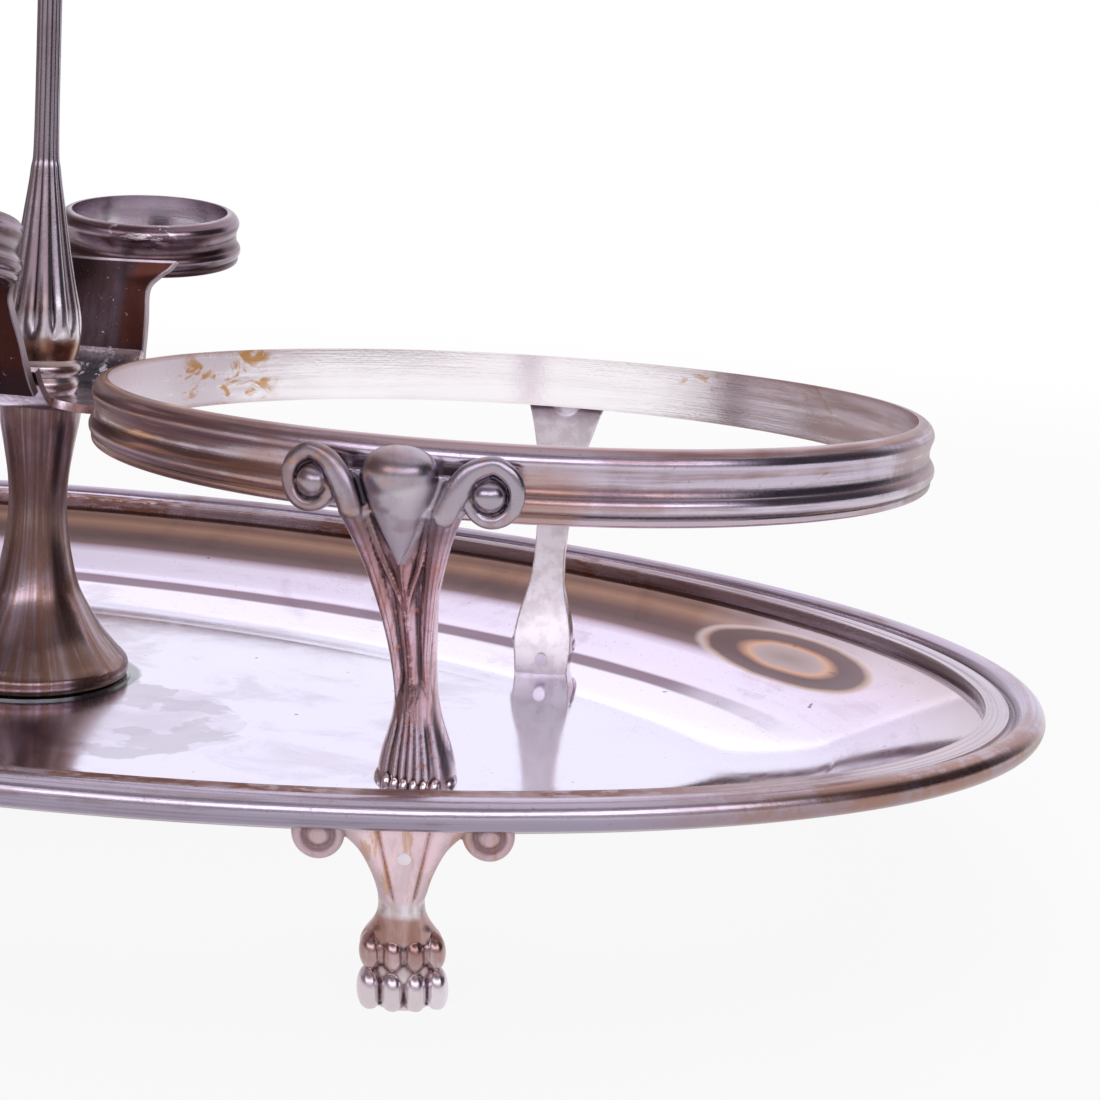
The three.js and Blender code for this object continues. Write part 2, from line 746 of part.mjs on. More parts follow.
function nut() {
  const hexagon = turned(
    rodOutline(nutAcrossCorners / 2, nutTop - nutThickness, nutTop),
    6,
  );
  const hole = turned(
    rodOutline(boreRadius, nutTop - nutThickness - 1, nutTop + 1),
    smallFacets,
  );
  return geometryOf(solid(hexagon).subtract(solid(hole)));
}

// Assembly

addPiece("tray", tray(), silver);
addPiece("rim_band", rimBand(), wornSilver);

const footAngle = THREE.MathUtils.degToRad(footTurn);
const footSpots = {
  front_right: -footAngle,
  front_left: footAngle - Math.PI,
  back_right: footAngle,
  back_left: Math.PI - footAngle,
};
for (const [spot, angle] of Object.entries(footSpots)) {
  addPiece(`foot_${spot}`, footBody(angle), wornSilver);
  addPiece(`foot_pin_${spot}`, footPin(false).applyMatrix4(footPlace(angle)), silver);
}

const leg = legGeometry();
for (const [side, x] of [["right", bottleRingPitch / 2], ["left", -bottleRingPitch / 2]]) {
  addPiece(
    `bottle_ring_${side}`,
    ringBand(bottleRingBore, bottleRingFacets).translate(x, 0, bottleRingTop),
    wornSilver,
  );
  for (const [face, square] of [["front", Math.PI], ["back", 0]]) {
    const turn = square + THREE.MathUtils.degToRad(legTurn);
    addPiece(`leg_${face}_${side}`, legBody(leg, turn, x), silver);
    addPiece(`leg_stud_${face}_${side}`, legStud().rotateZ(turn).translate(x, 0, 0), brass);
  }
}

addPiece("column", column(), brownSilver);
addPiece("bridge_plate", bridgePlate(), brownSilver);
for (const [face, turn, roll] of [["front", Math.PI, 0], ["back", 0, stopperRingRoll]]) {
  addPiece(`stopper_strap_${face}`, stopperStrap(roll).rotateZ(turn), brownSilver);
  addPiece(
    `stopper_ring_${face}`,
    ringBand(stopperRingBore, stopperRingFacets).applyMatrix4(stopperPlace(roll)).rotateZ(turn),
    wornSilver,
  );
}

addPiece(
  "stem_washer",
  turned(tubeOutline(washerRadius, boreRadius, washerBase, washerBase + washerHeight), turnedFacets),
  wornSilver,
);
addPiece(
  "stem_collar",
  turned(tubeOutline(collarRadius, boreRadius, collarBase, collarBase + collarHeight), turnedFacets),
  wornSilver,
);
addPiece("handle_stem", stem(), silver);
addPiece("handle_knop", knop(), silver);
addPiece("handle_loop", loopHandle(), silver);

addPiece("tie_rod", turned(rodOutline(rodRadius, rodBottom, stemBase + rodGrip), smallFacets), brass);
addPiece(
  "base_washer",
  turned(tubeOutline(baseWasherRadius, boreRadius, nutTop, baseWasherTop), smallFacets),
  brass,
);
addPiece("base_nut", nut(), brass);

export default stand;
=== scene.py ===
"""The looks of an oval cruet stand of worn silver plate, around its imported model.

Lengths are millimetres until mesh_of() turns them into metres. Materials work in metres. Z is up from the
table, X runs along the tray and the front faces -Y.
"""

import math

import bmesh
import bpy
import numpy as np
from mathutils import Matrix, Vector


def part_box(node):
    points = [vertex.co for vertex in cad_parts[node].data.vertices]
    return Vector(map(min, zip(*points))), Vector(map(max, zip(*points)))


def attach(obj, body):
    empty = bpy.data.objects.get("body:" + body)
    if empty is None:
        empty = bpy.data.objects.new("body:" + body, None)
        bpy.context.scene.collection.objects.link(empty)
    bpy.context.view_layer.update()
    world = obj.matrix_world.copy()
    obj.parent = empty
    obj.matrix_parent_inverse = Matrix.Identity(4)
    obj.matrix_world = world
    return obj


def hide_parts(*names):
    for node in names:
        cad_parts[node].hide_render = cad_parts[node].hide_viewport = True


MM = 0.001

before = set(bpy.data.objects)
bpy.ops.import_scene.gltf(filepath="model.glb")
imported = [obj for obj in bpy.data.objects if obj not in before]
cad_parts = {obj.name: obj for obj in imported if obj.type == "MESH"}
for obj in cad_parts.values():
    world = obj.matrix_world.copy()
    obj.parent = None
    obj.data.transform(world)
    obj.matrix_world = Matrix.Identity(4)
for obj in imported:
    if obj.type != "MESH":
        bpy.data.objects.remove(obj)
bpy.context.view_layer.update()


def box_mm(node):
    """The lowest and highest corner of a CAD node in millimetres."""
    low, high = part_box(node)
    return np.array(low) / MM, np.array(high) / MM


# Dimensions read from the CAD parts of model.glb

rim_high = box_mm("rim_band")[1]
ring_low, ring_high = box_mm("bottle_ring_right")
column_low, column_high = box_mm("column")
knop_low, knop_high = box_mm("handle_knop")
loop_low, loop_high = box_mm("handle_loop")
STEM_BASE = box_mm("handle_stem")[0][2]
TRAY_UNDERSIDE = box_mm("tray")[0][2]
PLATE_TOP = box_mm("stem_washer")[0][2]

# Rim and tray

BEAD_RADIUS = 1.3
HALF_LENGTH = rim_high[0] - BEAD_RADIUS
HALF_WIDTH = rim_high[1] - BEAD_RADIUS
RIM_HEIGHT = rim_high[2] - BEAD_RADIUS
RIM_BAND_WIDTH = 4.1
SHEET_THICKNESS = 0.9
SOLDER_GAP = 0.3
RIM_UNDERSIDE = 0.7  # below the middle of the bead
FLANGE_HEIGHT = RIM_HEIGHT - RIM_UNDERSIDE - SOLDER_GAP
FLANGE_EDGE = 1.1
WELL_HEIGHT = TRAY_UNDERSIDE + SHEET_THICKNESS
SLOPE_WIDTH = 27.4
SLOPE_SHARES = [(0, 0), (0.23, 0.345), (0.45, 0.68), (0.5, 0.745), (0.55, 0.797), (0.64, 0.867), (0.75, 0.931),
                (0.87, 0.979), (1, 1)]
INSET_SPAN = RIM_BAND_WIDTH + SLOPE_WIDTH
ROD_HOLE_RADIUS = 1.75
COLUMN_SEAT_RADIUS = 10.8
RIM_RIDGE = [(4.1, -1.02), (4.1, 0.24), (4.0, 0.44), (3.78, 0.54), (3.5, 0.50), (3.2, 0.40), (2.9, 0.33), (2.6, 0.32)]
RIM_GROOVE = [(2.36, 0.36), (2.2, 0.46), (2.05, 0.50), (1.92, 0.44), (1.84, 0.28), (1.7, 0.12), (1.5, 0.05),
              (1.36, 0.12)]

# Bottle rings and legs. BAND has the moulded band's outside as shares of its (thickness, height).

RING_MIDDLE_X = (ring_low[0] + ring_high[0]) / 2
RING_TOP = ring_high[2]
BAND_HEIGHT = ring_high[2] - ring_low[2]
BAND_THICKNESS = 1.8
BAND = [(0, 1), (0.18, 1.0), (0.40, 0.98), (0.60, 0.94), (0.75, 0.885), (0.83, 0.82), (0.83, 0.76), (0.76, 0.70),
        (0.69, 0.62), (0.66, 0.54), (0.68, 0.46), (0.76, 0.40), (0.88, 0.35), (0.96, 0.29), (0.95, 0.22),
        (0.86, 0.17), (0.80, 0.14), (0.82, 0.09), (0.76, 0.03), (0.5, 0.0), (0, 0.0)]
RING_BORE_RADIUS = (ring_high[0] - ring_low[0]) / 2 - BAND_THICKNESS
LEG_SEAT = 8.1
LEG_HEIGHT = RING_TOP - LEG_SEAT
LEG_FOOT_REACH = 24.0
LEG_FOOT_SHIFT = 1.4
LEG_TOP_REACH = RING_BORE_RADIUS + BAND_THICKNESS + SOLDER_GAP
LEG_BEND = 0.84  # share of the leg's height over which it leans out
LEG_TURN = math.radians(1.65)
LEG_WIDTHS = [(-0.04, 3.2), (0.03, 3.35), (0.08, 3.55), (0.12, 3.5), (0.17, 3.15), (0.22, 2.65), (0.27, 2.2),
              (0.33, 1.93), (0.38, 1.9), (0.45, 2.0), (0.55, 2.3), (0.65, 2.65), (0.75, 3.1), (0.82, 3.5), (0.88, 3.6),
              (0.925, 2.9), (0.95, 2.3), (0.985, 1.4)]
LEG_DEPTHS = [(-0.04, 4.4), (0.05, 4.6), (0.12, 4.5), (0.19, 4.0), (0.25, 3.4), (0.32, 2.9), (0.38, 2.55),
              (0.55, 2.3), (0.75, 1.8), (0.85, 1.3), (0.985, 1.1)]
VOLUTE_X = 7.25
VOLUTE_Z = RING_TOP - 3.9
BOSS_SHAPE = [(0.01, 33.4), (0.45, 34.4), (1.1, 35.8), (1.75, 37.2), (2.35, 38.6), (2.82, 39.9), (3.02, 41.0),
              (2.85, 42.0), (2.2, 42.8), (1.2, 43.25), (0.01, 43.4)]
BOSS_LEAN = 1.9
TOE_HEIGHT = LEG_SEAT + 3.0
LEAF_HEIGHT = 21.0

# A leg's raised band as (x, height, radius) up to its scroll, then its curl as (degrees, radius, thickness)

STRAND_CLIMB = [(1.50, 18.5, 0.16), (1.36, 21.5, 0.30), (1.42, 24.5, 0.38), (1.70, 27.5, 0.46), (2.10, 30.5, 0.54),
                (2.52, 33, 0.64), (3.0, 35.2, 0.78), (3.5, 37.2, 0.92), (4.05, 38.9, 1.02), (4.75, 40.4, 1.05),
                (5.75, 41.75, 0.92)]
STRAND_CURL = [(0, 2.62, 0.76), (90, 1.92, 0.60), (180, 1.82, 0.54), (270, 1.62, 0.48), (360, 1.2, 0.38),
               (440, 0.85, 0.30)]
STRAND_RISE = [(0, 2.1), (0.06, 2.1), (0.09, 1.95), (0.12, 1.82), (0.16, 1.65), (0.22, 1.5), (0.3, 1.45), (1, 1.45)]
STRAND_FREE = 0.29  # share of the band's length from which it no longer follows the leg
WEB_WIDTHS = [(27, 1.9), (30, 2.45), (33, 3.2), (35.2, 3.85), (37.2, 4.6), (38.6, 5.2), (40, 5.5), (41.2, 4.6)]
V_RIDGE = [(2.75, 38.4), (2.1, 35.8), (1.4, 33.2), (0.55, 30.6), (0.08, 28.6)]

# Feet: half widths, fronts and backs by height

FOOT_TURN = math.radians(56.3)
FOOT_INSET = 2.4
FOOT_WIDTHS = [(0, 2.6), (2.4, 2.9), (3.6, 3.1), (4.6, 3.25), (5.4, 3.1), (6.1, 2.65), (6.8, 2.2), (7.5, 1.92),
               (8.3, 1.82), (9.2, 1.9), (10.4, 2.22), (11.7, 2.75), (12.9, 3.4), (13.8, 4.2), (14.6, 5.2), (15.2, 6.2)]
FOOT_FRONTS = [(0, 0.3), (2.4, 0.42), (4.1, 0.4), (5.0, 0.52), (6.0, 0.78), (6.9, 0.80), (8.0, 0.75), (9.1, 0.95),
               (10.2, 1.15), (12.7, 1.5), (15.2, 1.75)]
FOOT_BACKS = [(0, -3.3), (2.4, -3.3), (5.1, -2.9), (6.9, -2.2), (10.2, -2.0), (12.7, -1.4), (15.2, -0.7)]
FOOT_TOP = 15.2
FOOT_LEAN = -0.055
FOOT_SCROLL = [(0.01, 0), (1.9, 0), (2.02, 0.5), (2.02, 1.2), (1.88, 1.6), (1.6, 1.74), (1.34, 1.6), (1.18, 1.28),
               (1.0, 1.2), (0.86, 1.5), (0.62, 1.78), (0.3, 1.86), (0.01, 1.88)]
FOOT_SCROLL_X = 6.5
FOOT_SCROLL_HEIGHT = 14.55
TOES = [(-2.62, -0.8), (-0.88, -0.35), (0.88, -0.35), (2.62, -0.8)]
PIN_HEIGHT = 12.7
PIN_RADIUS = 0.55
PIN_LENGTH = 1.6

# Stopper rings and straps

STOPPER_REACH = 27.6
STOPPER_TOP = 59.4
STOPPER_TILT = math.radians(9.7)
STOPPER_ROLL = math.radians(3.5)
STOPPER_BORE_RADIUS = 9.6
PLATE_THICKNESS = 0.9
PLATE_FLAT_REACH = 6.5
PLATE_END_REACH = 12.4
PLATE_END_RISE = 4.2
PLATE_END_WIDTH = 12.6
STRAP_THICKNESS = 0.9

# Column over its foot, stem over its base as (radius, height), and knop as shares of its radius and height

COLUMN_FOOT = [(9.4, 0), (9.98, 0), (10.35, 0.3), (10.52, 0.9), (10.4, 1.6), (9.95, 2.2)]
COLUMN_SHAFT = [(9.87, 2.2), (8.75, 3.5), (7.6, 4.95), (6.4, 6.85), (5.24, 8.9), (4.64, 10.4), (4.0, 12.9),
                (3.45, 16), (3.2, 19.2), (3.35, 22.5), (3.9, 26), (4.35, 28.5)]
COLUMN_TOP_RADIUS = 4.6
STEM = [(3.8, 0), (4.12, 1.2), (4.28, 2.6), (4.3, 4.0), (4.1, 5.6), (3.7, 7.6), (3.05, 11.2), (2.3, 16), (1.65, 20.5),
        (1.35, 25), (1.33, 48), (1.5, 68), (2.1, 74)]
FLUTES = 12
KNOP = [(0.01, 0), (0.5, 0), (0.56, 0.1), (0.6, 0.17), (0.85, 0.3), (1, 0.48), (0.96, 0.6), (0.8, 0.73),
        (0.55, 0.83), (0.5, 0.9), (0.46, 1), (0.01, 1)]


# Curves

def spline(points, count):
    """A smooth line of count points through the given ones."""
    p = np.asarray(points, float)
    p = np.vstack([2 * p[0] - p[1], p, 2 * p[-1] - p[-2]])
    t = np.linspace(0, len(p) - 3, count)
    i = np.minimum(t.astype(int), len(p) - 4)
    f = (t - i)[:, None]
    a, b, c, d = p[i], p[i + 1], p[i + 2], p[i + 3]
    return 0.5 * (2 * b + (c - a) * f + (2 * a - 5 * b + 4 * c - d) * f**2 + (3 * b - a - 3 * c + d) * f**3)


def along_table(table, at):
    """Values at the given places, smoothly between the (place, value) rows of a table."""
    fine = spline(table, 40 * len(table))
    return np.interp(at, np.maximum.accumulate(fine[:, 0]), fine[:, 1])


def smoothstep(low, high, value):
    t = np.clip((value - low) / (high - low), 0, 1)
    return t * t * (3 - 2 * t)


def arch(u):
    """The height of a half circle over its middle, u running from -1 to 1."""
    return np.sqrt(np.maximum(1 - u * u, 0))


def full_turn(count):
    return np.linspace(-np.pi, np.pi, count, endpoint=False)


def half_circle(count):
    """From 1 to -1, the steps closer towards the ends."""
    return np.cos(np.linspace(0, np.pi, count))


def unit(vectors):
    return vectors / np.maximum(np.linalg.norm(vectors, axis=-1, keepdims=True), 1e-9)


# Meshes

def lofted(rings, endless=False):
    """Points and faces of a closed body through rows of rings of points."""
    rings = np.asarray(rings, float)
    rows, count = rings.shape[:2]
    index = np.arange(rows * count).reshape(rows, count)
    here = index if endless else index[:-1]
    there = np.roll(index, -1, 0) if endless else index[1:]
    quads = np.stack([here, np.roll(here, -1, 1), np.roll(there, -1, 1), there], -1)
    faces = quads.reshape(-1, 4).tolist()
    if not endless:
        faces += [index[0][::-1].tolist(), index[-1].tolist()]
    return rings.reshape(-1, 3), faces


def merged(bodies):
    """Several (points, faces) as one."""
    points, faces, start = [], [], 0
    for body_points, body_faces in bodies:
        points.append(body_points)
        faces += [[start + i for i in face] for face in body_faces]
        start += len(body_points)
    return np.vstack(points), faces


def turned(outline, facets):
    """A body of revolution about Z from a closed outline of (radius, height): points, faces, flow, hollows."""
    outline = np.asarray(outline, float)
    turn = full_turn(facets)
    radius, height = outline.T
    same = np.ones(facets)
    rings = np.stack([np.outer(np.cos(turn), radius), np.outer(np.sin(turn), radius), np.outer(same, height)], -1)
    steps = np.linalg.norm(np.diff(outline, axis=0, prepend=outline[:1]), axis=1)
    across = np.outer(same, np.cumsum(steps))
    along = np.outer(np.abs(turn), np.ones(len(outline))) * radius.max()
    points, faces = lofted(rings, True)
    flow = np.stack([along.ravel(), across.ravel(), np.zeros(along.size)], -1)
    return points, faces, flow, np.tile(outline_hollows(outline, 0.55, 0.13), facets)


def facing_front(points):
    """A body about Z, laid so that its axis runs along Y."""
    return points[:, [0, 2, 1]] * (1, 1, -1)


def tube(path, radius, sides=16, depth=1.0):
    """A closed tube along a path, its radius given for each point. Its depth along Y is a share of that."""
    ahead = unit(np.gradient(path, axis=0))
    side = unit(np.cross(ahead, (0.0, 1.0, 0.0)))
    up = np.cross(side, ahead)
    turn = np.linspace(0, 2 * np.pi, sides, endpoint=False)
    circle = np.cos(turn)[None, :, None] * side[:, None] + depth * np.sin(turn)[None, :, None] * up[:, None]
    return lofted(path[:, None] + circle * radius[:, None, None])


def ellipsoid(centre, half, steps=20, power=2.0):
    """A closed egg. A power over 2 makes it boxier upright."""
    height = -np.cos(np.linspace(0.02, np.pi - 0.02, steps))
    radius = np.maximum(1 - np.abs(height) ** power, 1e-4) ** (1 / power)
    around = np.linspace(0, 2 * np.pi, steps * 2, endpoint=False)
    rings = [
        np.stack([r * np.cos(around), r * np.sin(around), np.full_like(around, z)], -1)
        for r, z in zip(radius, height)
    ]
    points, faces = lofted(rings)
    return points * half + centre, faces


def mesh_of(name, points, faces):
    mesh = bpy.data.meshes.new(name)
    mesh.from_pydata((np.asarray(points) * MM).tolist(), [], faces)
    shape = bmesh.new()
    shape.from_mesh(mesh)
    bmesh.ops.recalc_face_normals(shape, faces=shape.faces)
    shape.to_mesh(mesh)
    shape.free()
    return mesh


def cast_mesh(name, bodies, voxel, smoothing=2):
    """One skin round several overlapping bodies, with its inner corners filled softly, as a casting has."""
    rough = bpy.data.objects.new(name, mesh_of(name, *merged(bodies)))
    bpy.context.scene.collection.objects.link(rough)
    skin = rough.modifiers.new("skin", "REMESH")
    skin.mode = "VOXEL"
    skin.voxel_size = voxel * MM
    soften = rough.modifiers.new("soften", "SMOOTH")
    soften.factor = 0.5
    soften.iterations = smoothing
    mesh = bpy.data.meshes.new_from_object(rough.evaluated_get(bpy.context.evaluated_depsgraph_get()))
    mesh.name = name
    bpy.data.objects.remove(rough)
    return mesh


def store(mesh, **layers):
    """Stores numbers or vectors at the mesh's points for its material."""
    for name, values in layers.items():
        values = np.asarray(values, np.float32)
        kind, field = ("FLOAT_VECTOR", "vector") if values.ndim == 2 else ("FLOAT", "value")
        mesh.attributes.new(name, kind, "POINT").data.foreach_set(field, values.ravel())


def coordinates(mesh):
    """The mesh's points in metres."""
    at = np.empty(len(mesh.vertices) * 3, np.float32)
    mesh.vertices.foreach_get("co", at)
    return at.reshape(-1, 3)


def cast_flow(at):
    """Flow lines up a casting."""
    return np.stack([at[:, 2], at[:, 0] + 0.3 * at[:, 1], at[:, 1] * 0], -1)


def store_hollows(mesh, reach, rounds=12):
    """Stores how deep each point lies below its surroundings, from about -1 on ridges to 1 in hollows."""
    at = coordinates(mesh).astype(float)
    edges = np.empty(len(mesh.edges) * 2, np.int32)
    mesh.edges.foreach_get("vertices", edges)
    first, second = edges.reshape(-1, 2).T
    count = np.bincount(first, minlength=len(at)) + np.bincount(second, minlength=len(at))
    smooth = at.copy()
    for _ in range(rounds):
        total = [
            np.bincount(first, smooth[second, k], len(at)) + np.bincount(second, smooth[first, k], len(at))
            for k in range(3)
        ]
        smooth = 0.3 * smooth + 0.7 * np.stack(total, -1) / np.maximum(count, 1)[:, None]
    normals = np.empty(len(at) * 3, np.float32)
    mesh.vertices.foreach_get("normal", normals)
    depth = ((smooth - at) * normals.reshape(-1, 3)).sum(1)
    store(mesh, hollow=np.clip(depth / (reach * MM), -1, 1))


def outline_hollows(outline, width, reach):
    """How deep each point of a closed outline lies below the outline's run within width to either side."""
    p = np.asarray(outline, float)
    loop = np.vstack([p, p[:1]])
    place = np.concatenate([[0], np.cumsum(np.linalg.norm(np.diff(loop, axis=0), axis=1))])
    near = (place[:-1, None] + np.linspace(-width, width, 13)) % place[-1]
    mean = np.stack([np.interp(near, place, loop[:, k]).mean(1) for k in (0, 1)], -1)
    ahead = unit(np.roll(p, -1, 0) - np.roll(p, 1, 0))
    area = (p[:, 0] * np.roll(p[:, 1], -1) - np.roll(p[:, 0], -1) * p[:, 1]).sum()
    outward = np.stack([ahead[:, 1], -ahead[:, 0]], -1) * np.sign(area)
    return np.clip(((mean - p) * outward).sum(1) / reach, -1, 1)


def add_piece(mesh, material, nodes, sharp=35.0):
    """Shows a mesh as a piece of the object. It stands for the given CAD nodes."""
    for polygon in mesh.polygons:
        polygon.use_smooth = True
    mesh.set_sharp_from_angle(angle=math.radians(sharp))
    mesh.materials.clear()
    mesh.materials.append(material)
    if "hollow" not in mesh.attributes:
        store_hollows(mesh, 0.12)
    piece = bpy.data.objects.new(mesh.name, mesh)
    bpy.context.scene.collection.objects.link(piece)
    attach(piece, "root")
    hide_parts(*nodes)


# Materials

class Nodes:
    """Short names for the nodes of one material, or of the world."""

    def __init__(self, owner):
        owner.use_nodes = True
        self.tree = owner.node_tree
        self.shader = self.tree.nodes.get("Principled BSDF")

    def put(self, value, socket):
        """Sets a socket to a number or a colour, or links a node or an output to it."""
        if hasattr(value, "outputs"):
            value = value.outputs[0]
        if isinstance(value, bpy.types.NodeSocket):
            self.tree.links.new(value, socket)
        else:
            socket.default_value = (*value, 1.0) if socket.type == "RGBA" else value

    def made(self, kind, values=None, **settings):
        """A new node. values has what its inputs get, by their names or places."""
        node = self.tree.nodes.new("ShaderNode" + kind)
        for key, value in settings.items():
            setattr(node, key, value)
        for name, value in (values or {}).items():
            self.put(value, node.inputs[name])
        return node

    def maths(self, operation, *values):
        return self.made("Math", dict(enumerate(values)), operation=operation)

    def vectors(self, operation, *values):
        return self.made("VectorMath", dict(enumerate(values)), operation=operation).outputs

    def times(self, first, *others):
        for other in others:
            first = self.maths("MULTIPLY", first, other)
        return first

    def swing(self, value, amount):
        """A noise swung about 0, by half the amount to either side."""
        return self.maths("MULTIPLY_ADD", value, amount, -amount / 2)

    def place(self):
        return self.made("TexCoord").outputs["Object"]

    def axes(self, vector):
        return self.made("SeparateXYZ", {0: vector}).outputs

    def attribute(self, name, output="Fac"):
        return self.made("Attribute", attribute_name=name).outputs[output]

    def noise(self, scale, detail=4.0, rough=0.55, distortion=0.0, vector=None):
        """Noise over the object, or over another vector. Its scale is one number, or one for each axis."""
        vector = vector or self.place()
        if isinstance(scale, tuple):
            vector, scale = self.vectors("MULTIPLY", vector, scale)[0], 1.0
        values = {"Vector": vector, "Scale": scale, "Detail": detail, "Roughness": rough, "Distortion": distortion}
        return self.made("TexNoise", values).outputs["Fac"]

    def streaks(self, along, across, detail=4.0, rough=0.55, distortion=0.0):
        """Noise drawn out along the flow of the metal."""
        return self.noise((along, across, 1.0), detail, rough, distortion, self.attribute("flow", "Vector"))

    def span(self, value, low, high, to_low=0.0, to_high=1.0):
        """A soft step from to_low, at low and under it, to to_high."""
        values = {"Value": value, "From Min": low, "From Max": high, "To Min": to_low, "To Max": to_high}
        return self.made("MapRange", values, interpolation_type="SMOOTHSTEP").outputs["Result"]

    def fall(self, value, low, high, to_high=0.0):
        return self.span(value, low, high, 1.0, to_high)

    def between(self, value, low, low_end, high, high_end):
        """1 between two soft borders and 0 outside them."""
        return self.times(self.span(value, low, low_end), self.fall(value, high, high_end))

    def ramp(self, value, stops):
        """A colour band: stops are (place, colour)."""
        node = self.made("ValToRGB", {"Fac": value})
        band = node.color_ramp
        while len(band.elements) < len(stops):
            band.elements.new(0.5)
        for element, (place, colour) in zip(band.elements, stops):
            element.position = place
            element.color = (*colour, 1.0)
        return node.outputs["Color"]

    def mix(self, share, first, second, blend="MIX"):
        """Two colours mixed. The node has its colours at inputs 6 and 7 and at output 2."""
        values = {0: share, 6: first, 7: second}
        return self.made("Mix", values, data_type="RGBA", blend_type=blend).outputs[2]

    def tint(self, colour, other, *shares):
        """A colour mixed with another by the product of some shares."""
        return self.mix(self.times(*shares), colour, other)

    def inside(self, centre, half, edge, wander):
        """1 inside an ellipsoid given in millimetres and 0 outside, with a ragged border."""
        shifted = self.vectors("SUBTRACT", self.place(), [c * MM for c in centre])[0]
        away = self.vectors("LENGTH", self.vectors("MULTIPLY", shifted, [1 / (h * MM) for h in half])[0])["Value"]
        ragged = self.maths("SUBTRACT", self.noise(130.0, 5.0, 0.6, 0.8), 0.5)
        return self.fall(self.maths("MULTIPLY_ADD", ragged, wander, away), 1 - edge, 1 + edge)


BRIGHT = (0.86, 0.83, 0.87)
LILAC = (0.62, 0.57, 0.64)
BROWN = (0.30, 0.20, 0.16)
# The near black of the painted shade in hollows
HOLLOW_SHADE = (0.045, 0.035, 0.045)
COPPER = (0.62, 0.30, 0.16)
STAIN = (0.55, 0.36, 0.16)
RUST = (0.24, 0.10, 0.055)
YELLOW_STAIN = (0.62, 0.31, 0.08)
WORN_WHITE = (1.0, 0.98, 1.0)


def plated(
    name,
    clean=BRIGHT,
    tarnish=LILAC,
    tarnish_share=0.5,
    hollow_shade_share=1.0,
    stain=STAIN,
    stain_share=0.0,
    streak=0.5,
    roughness=(0.14, 0.34),
    zones=None,
    bare=None,
    browner=(),
    relief=0.05,
    extra=None,
):
    """Worn silver plate: clean and tarnished patches and streaks, painted shade darkening the hollows, stains and fine
    scratches.

    zones is (attribute, stops), a colour band over an attribute that the plate's colour is multiplied by.
    bare is (attribute, place): below that place the plate keeps nearly free of tarnish.
    browner lists (centre, half sizes) in millimetres of places with more tarnish.
    extra(nodes, colour, roughness) gives the last changes to both."""
    material = bpy.data.materials.new(name)
    n = Nodes(material)
    streaks = n.streaks(26.0, 760.0, 5.0, 0.6, 0.3)
    scratches = n.streaks(90.0, 5200.0, 3.0, 0.6)
    grain = n.noise(2600.0, 3.0, 0.6)
    mixed = n.maths("ADD", n.times(n.noise(75.0, 6.0, 0.62, 0.6), 1 - streak), n.times(streaks, streak))
    for centre, half in browner:
        mixed = n.maths("MULTIPLY_ADD", n.inside(centre, half, 0.35, 0.9), 0.16, mixed)
    cover = n.span(mixed, 0.62 - 0.34 * tarnish_share, 0.74 - 0.34 * tarnish_share)
    if bare:
        cover = n.times(cover, n.span(n.attribute(bare[0]), bare[1] - 0.01, bare[1] + 0.01, 0.3, 1.0))
    colour = n.mix(cover, clean, tarnish)
    if stain_share:
        spots = n.noise(110.0, 5.0, 0.62, 1.6)
        colour = n.mix(n.span(spots, 0.70 - 0.22 * stain_share, 0.75 - 0.22 * stain_share), colour, stain)
    if zones:
        wander = n.maths("MULTIPLY_ADD", streaks, 0.04, n.maths("ADD", n.attribute(zones[0]), -0.02))
        colour = n.mix(1.0, colour, n.ramp(wander, zones[1]), "MULTIPLY")
    colour = n.mix(n.span(grain, 0.64, 0.72, 0.0, 0.4), colour, BROWN)
    # Painted shade: the colour goes towards near black in the mesh's hollows.
    ragged = n.maths("ADD", n.attribute("hollow"), n.swing(grain, 0.3))
    colour = n.mix(n.span(ragged, 0.12, 0.7, 0.0, hollow_shade_share), colour, HOLLOW_SHADE)
    rough = n.maths("ADD", n.span(mixed, 0.3, 0.7, *roughness), n.swing(scratches, 0.08))
    if extra:
        colour, rough = extra(n, colour, rough)
    height = n.maths("ADD", n.times(scratches, 0.5), n.times(grain, 0.5))
    n.put(colour, n.shader.inputs["Base Color"])
    n.put(rough, n.shader.inputs["Roughness"])
    n.put(1.0, n.shader.inputs["Metallic"])
    n.put(n.made("Bump", {"Strength": relief, "Distance": 0.0004, "Height": height}), n.shader.inputs["Normal"])
    return material


def rim_marks(n, colour, rough):
    """Rust-brown specks along the inner ridge, fine lines, and browner ends towards the front."""
    zone = n.attribute("zone")
    x, y, _ = n.axes(n.place())
    out = n.maths("ABSOLUTE", x)
    runs = n.span(n.noise(42.0, 4.0, 0.65), 0.47, 0.56)
    specks = n.span(n.streaks(420.0, 1700.0, 5.0, 0.7), 0.40, 0.54)
    ridge = n.times(n.fall(zone, 0.27, 0.33), n.fall(out, 0.066, 0.082, 0.25))
    rusty = n.times(runs, specks, ridge)
    colour = n.tint(colour, RUST, rusty, 0.9)
    ends = n.times(n.span(out, 0.070, 0.088), n.fall(y, -0.012, 0.0))
    ends = n.times(ends, n.span(n.noise(260.0, 5.0, 0.7), 0.40, 0.55, 0.5, 0.95))
    colour = n.mix(ends, colour, (0.35, 0.20, 0.16))
    pale = n.times(n.fall(zone, 0.30, 0.36), n.span(out, 0.074, 0.092))
    colour = n.tint(colour, (0.66, 0.60, 0.66), pale, 0.7)
    lines = n.span(n.streaks(9.0, 3600.0, 3.0, 0.6), 0.5, 0.62)
    colour = n.tint(colour, (0.26, 0.21, 0.25), lines, 0.35)
    return colour, n.maths("MULTIPLY_ADD", rusty, 0.25, rough)


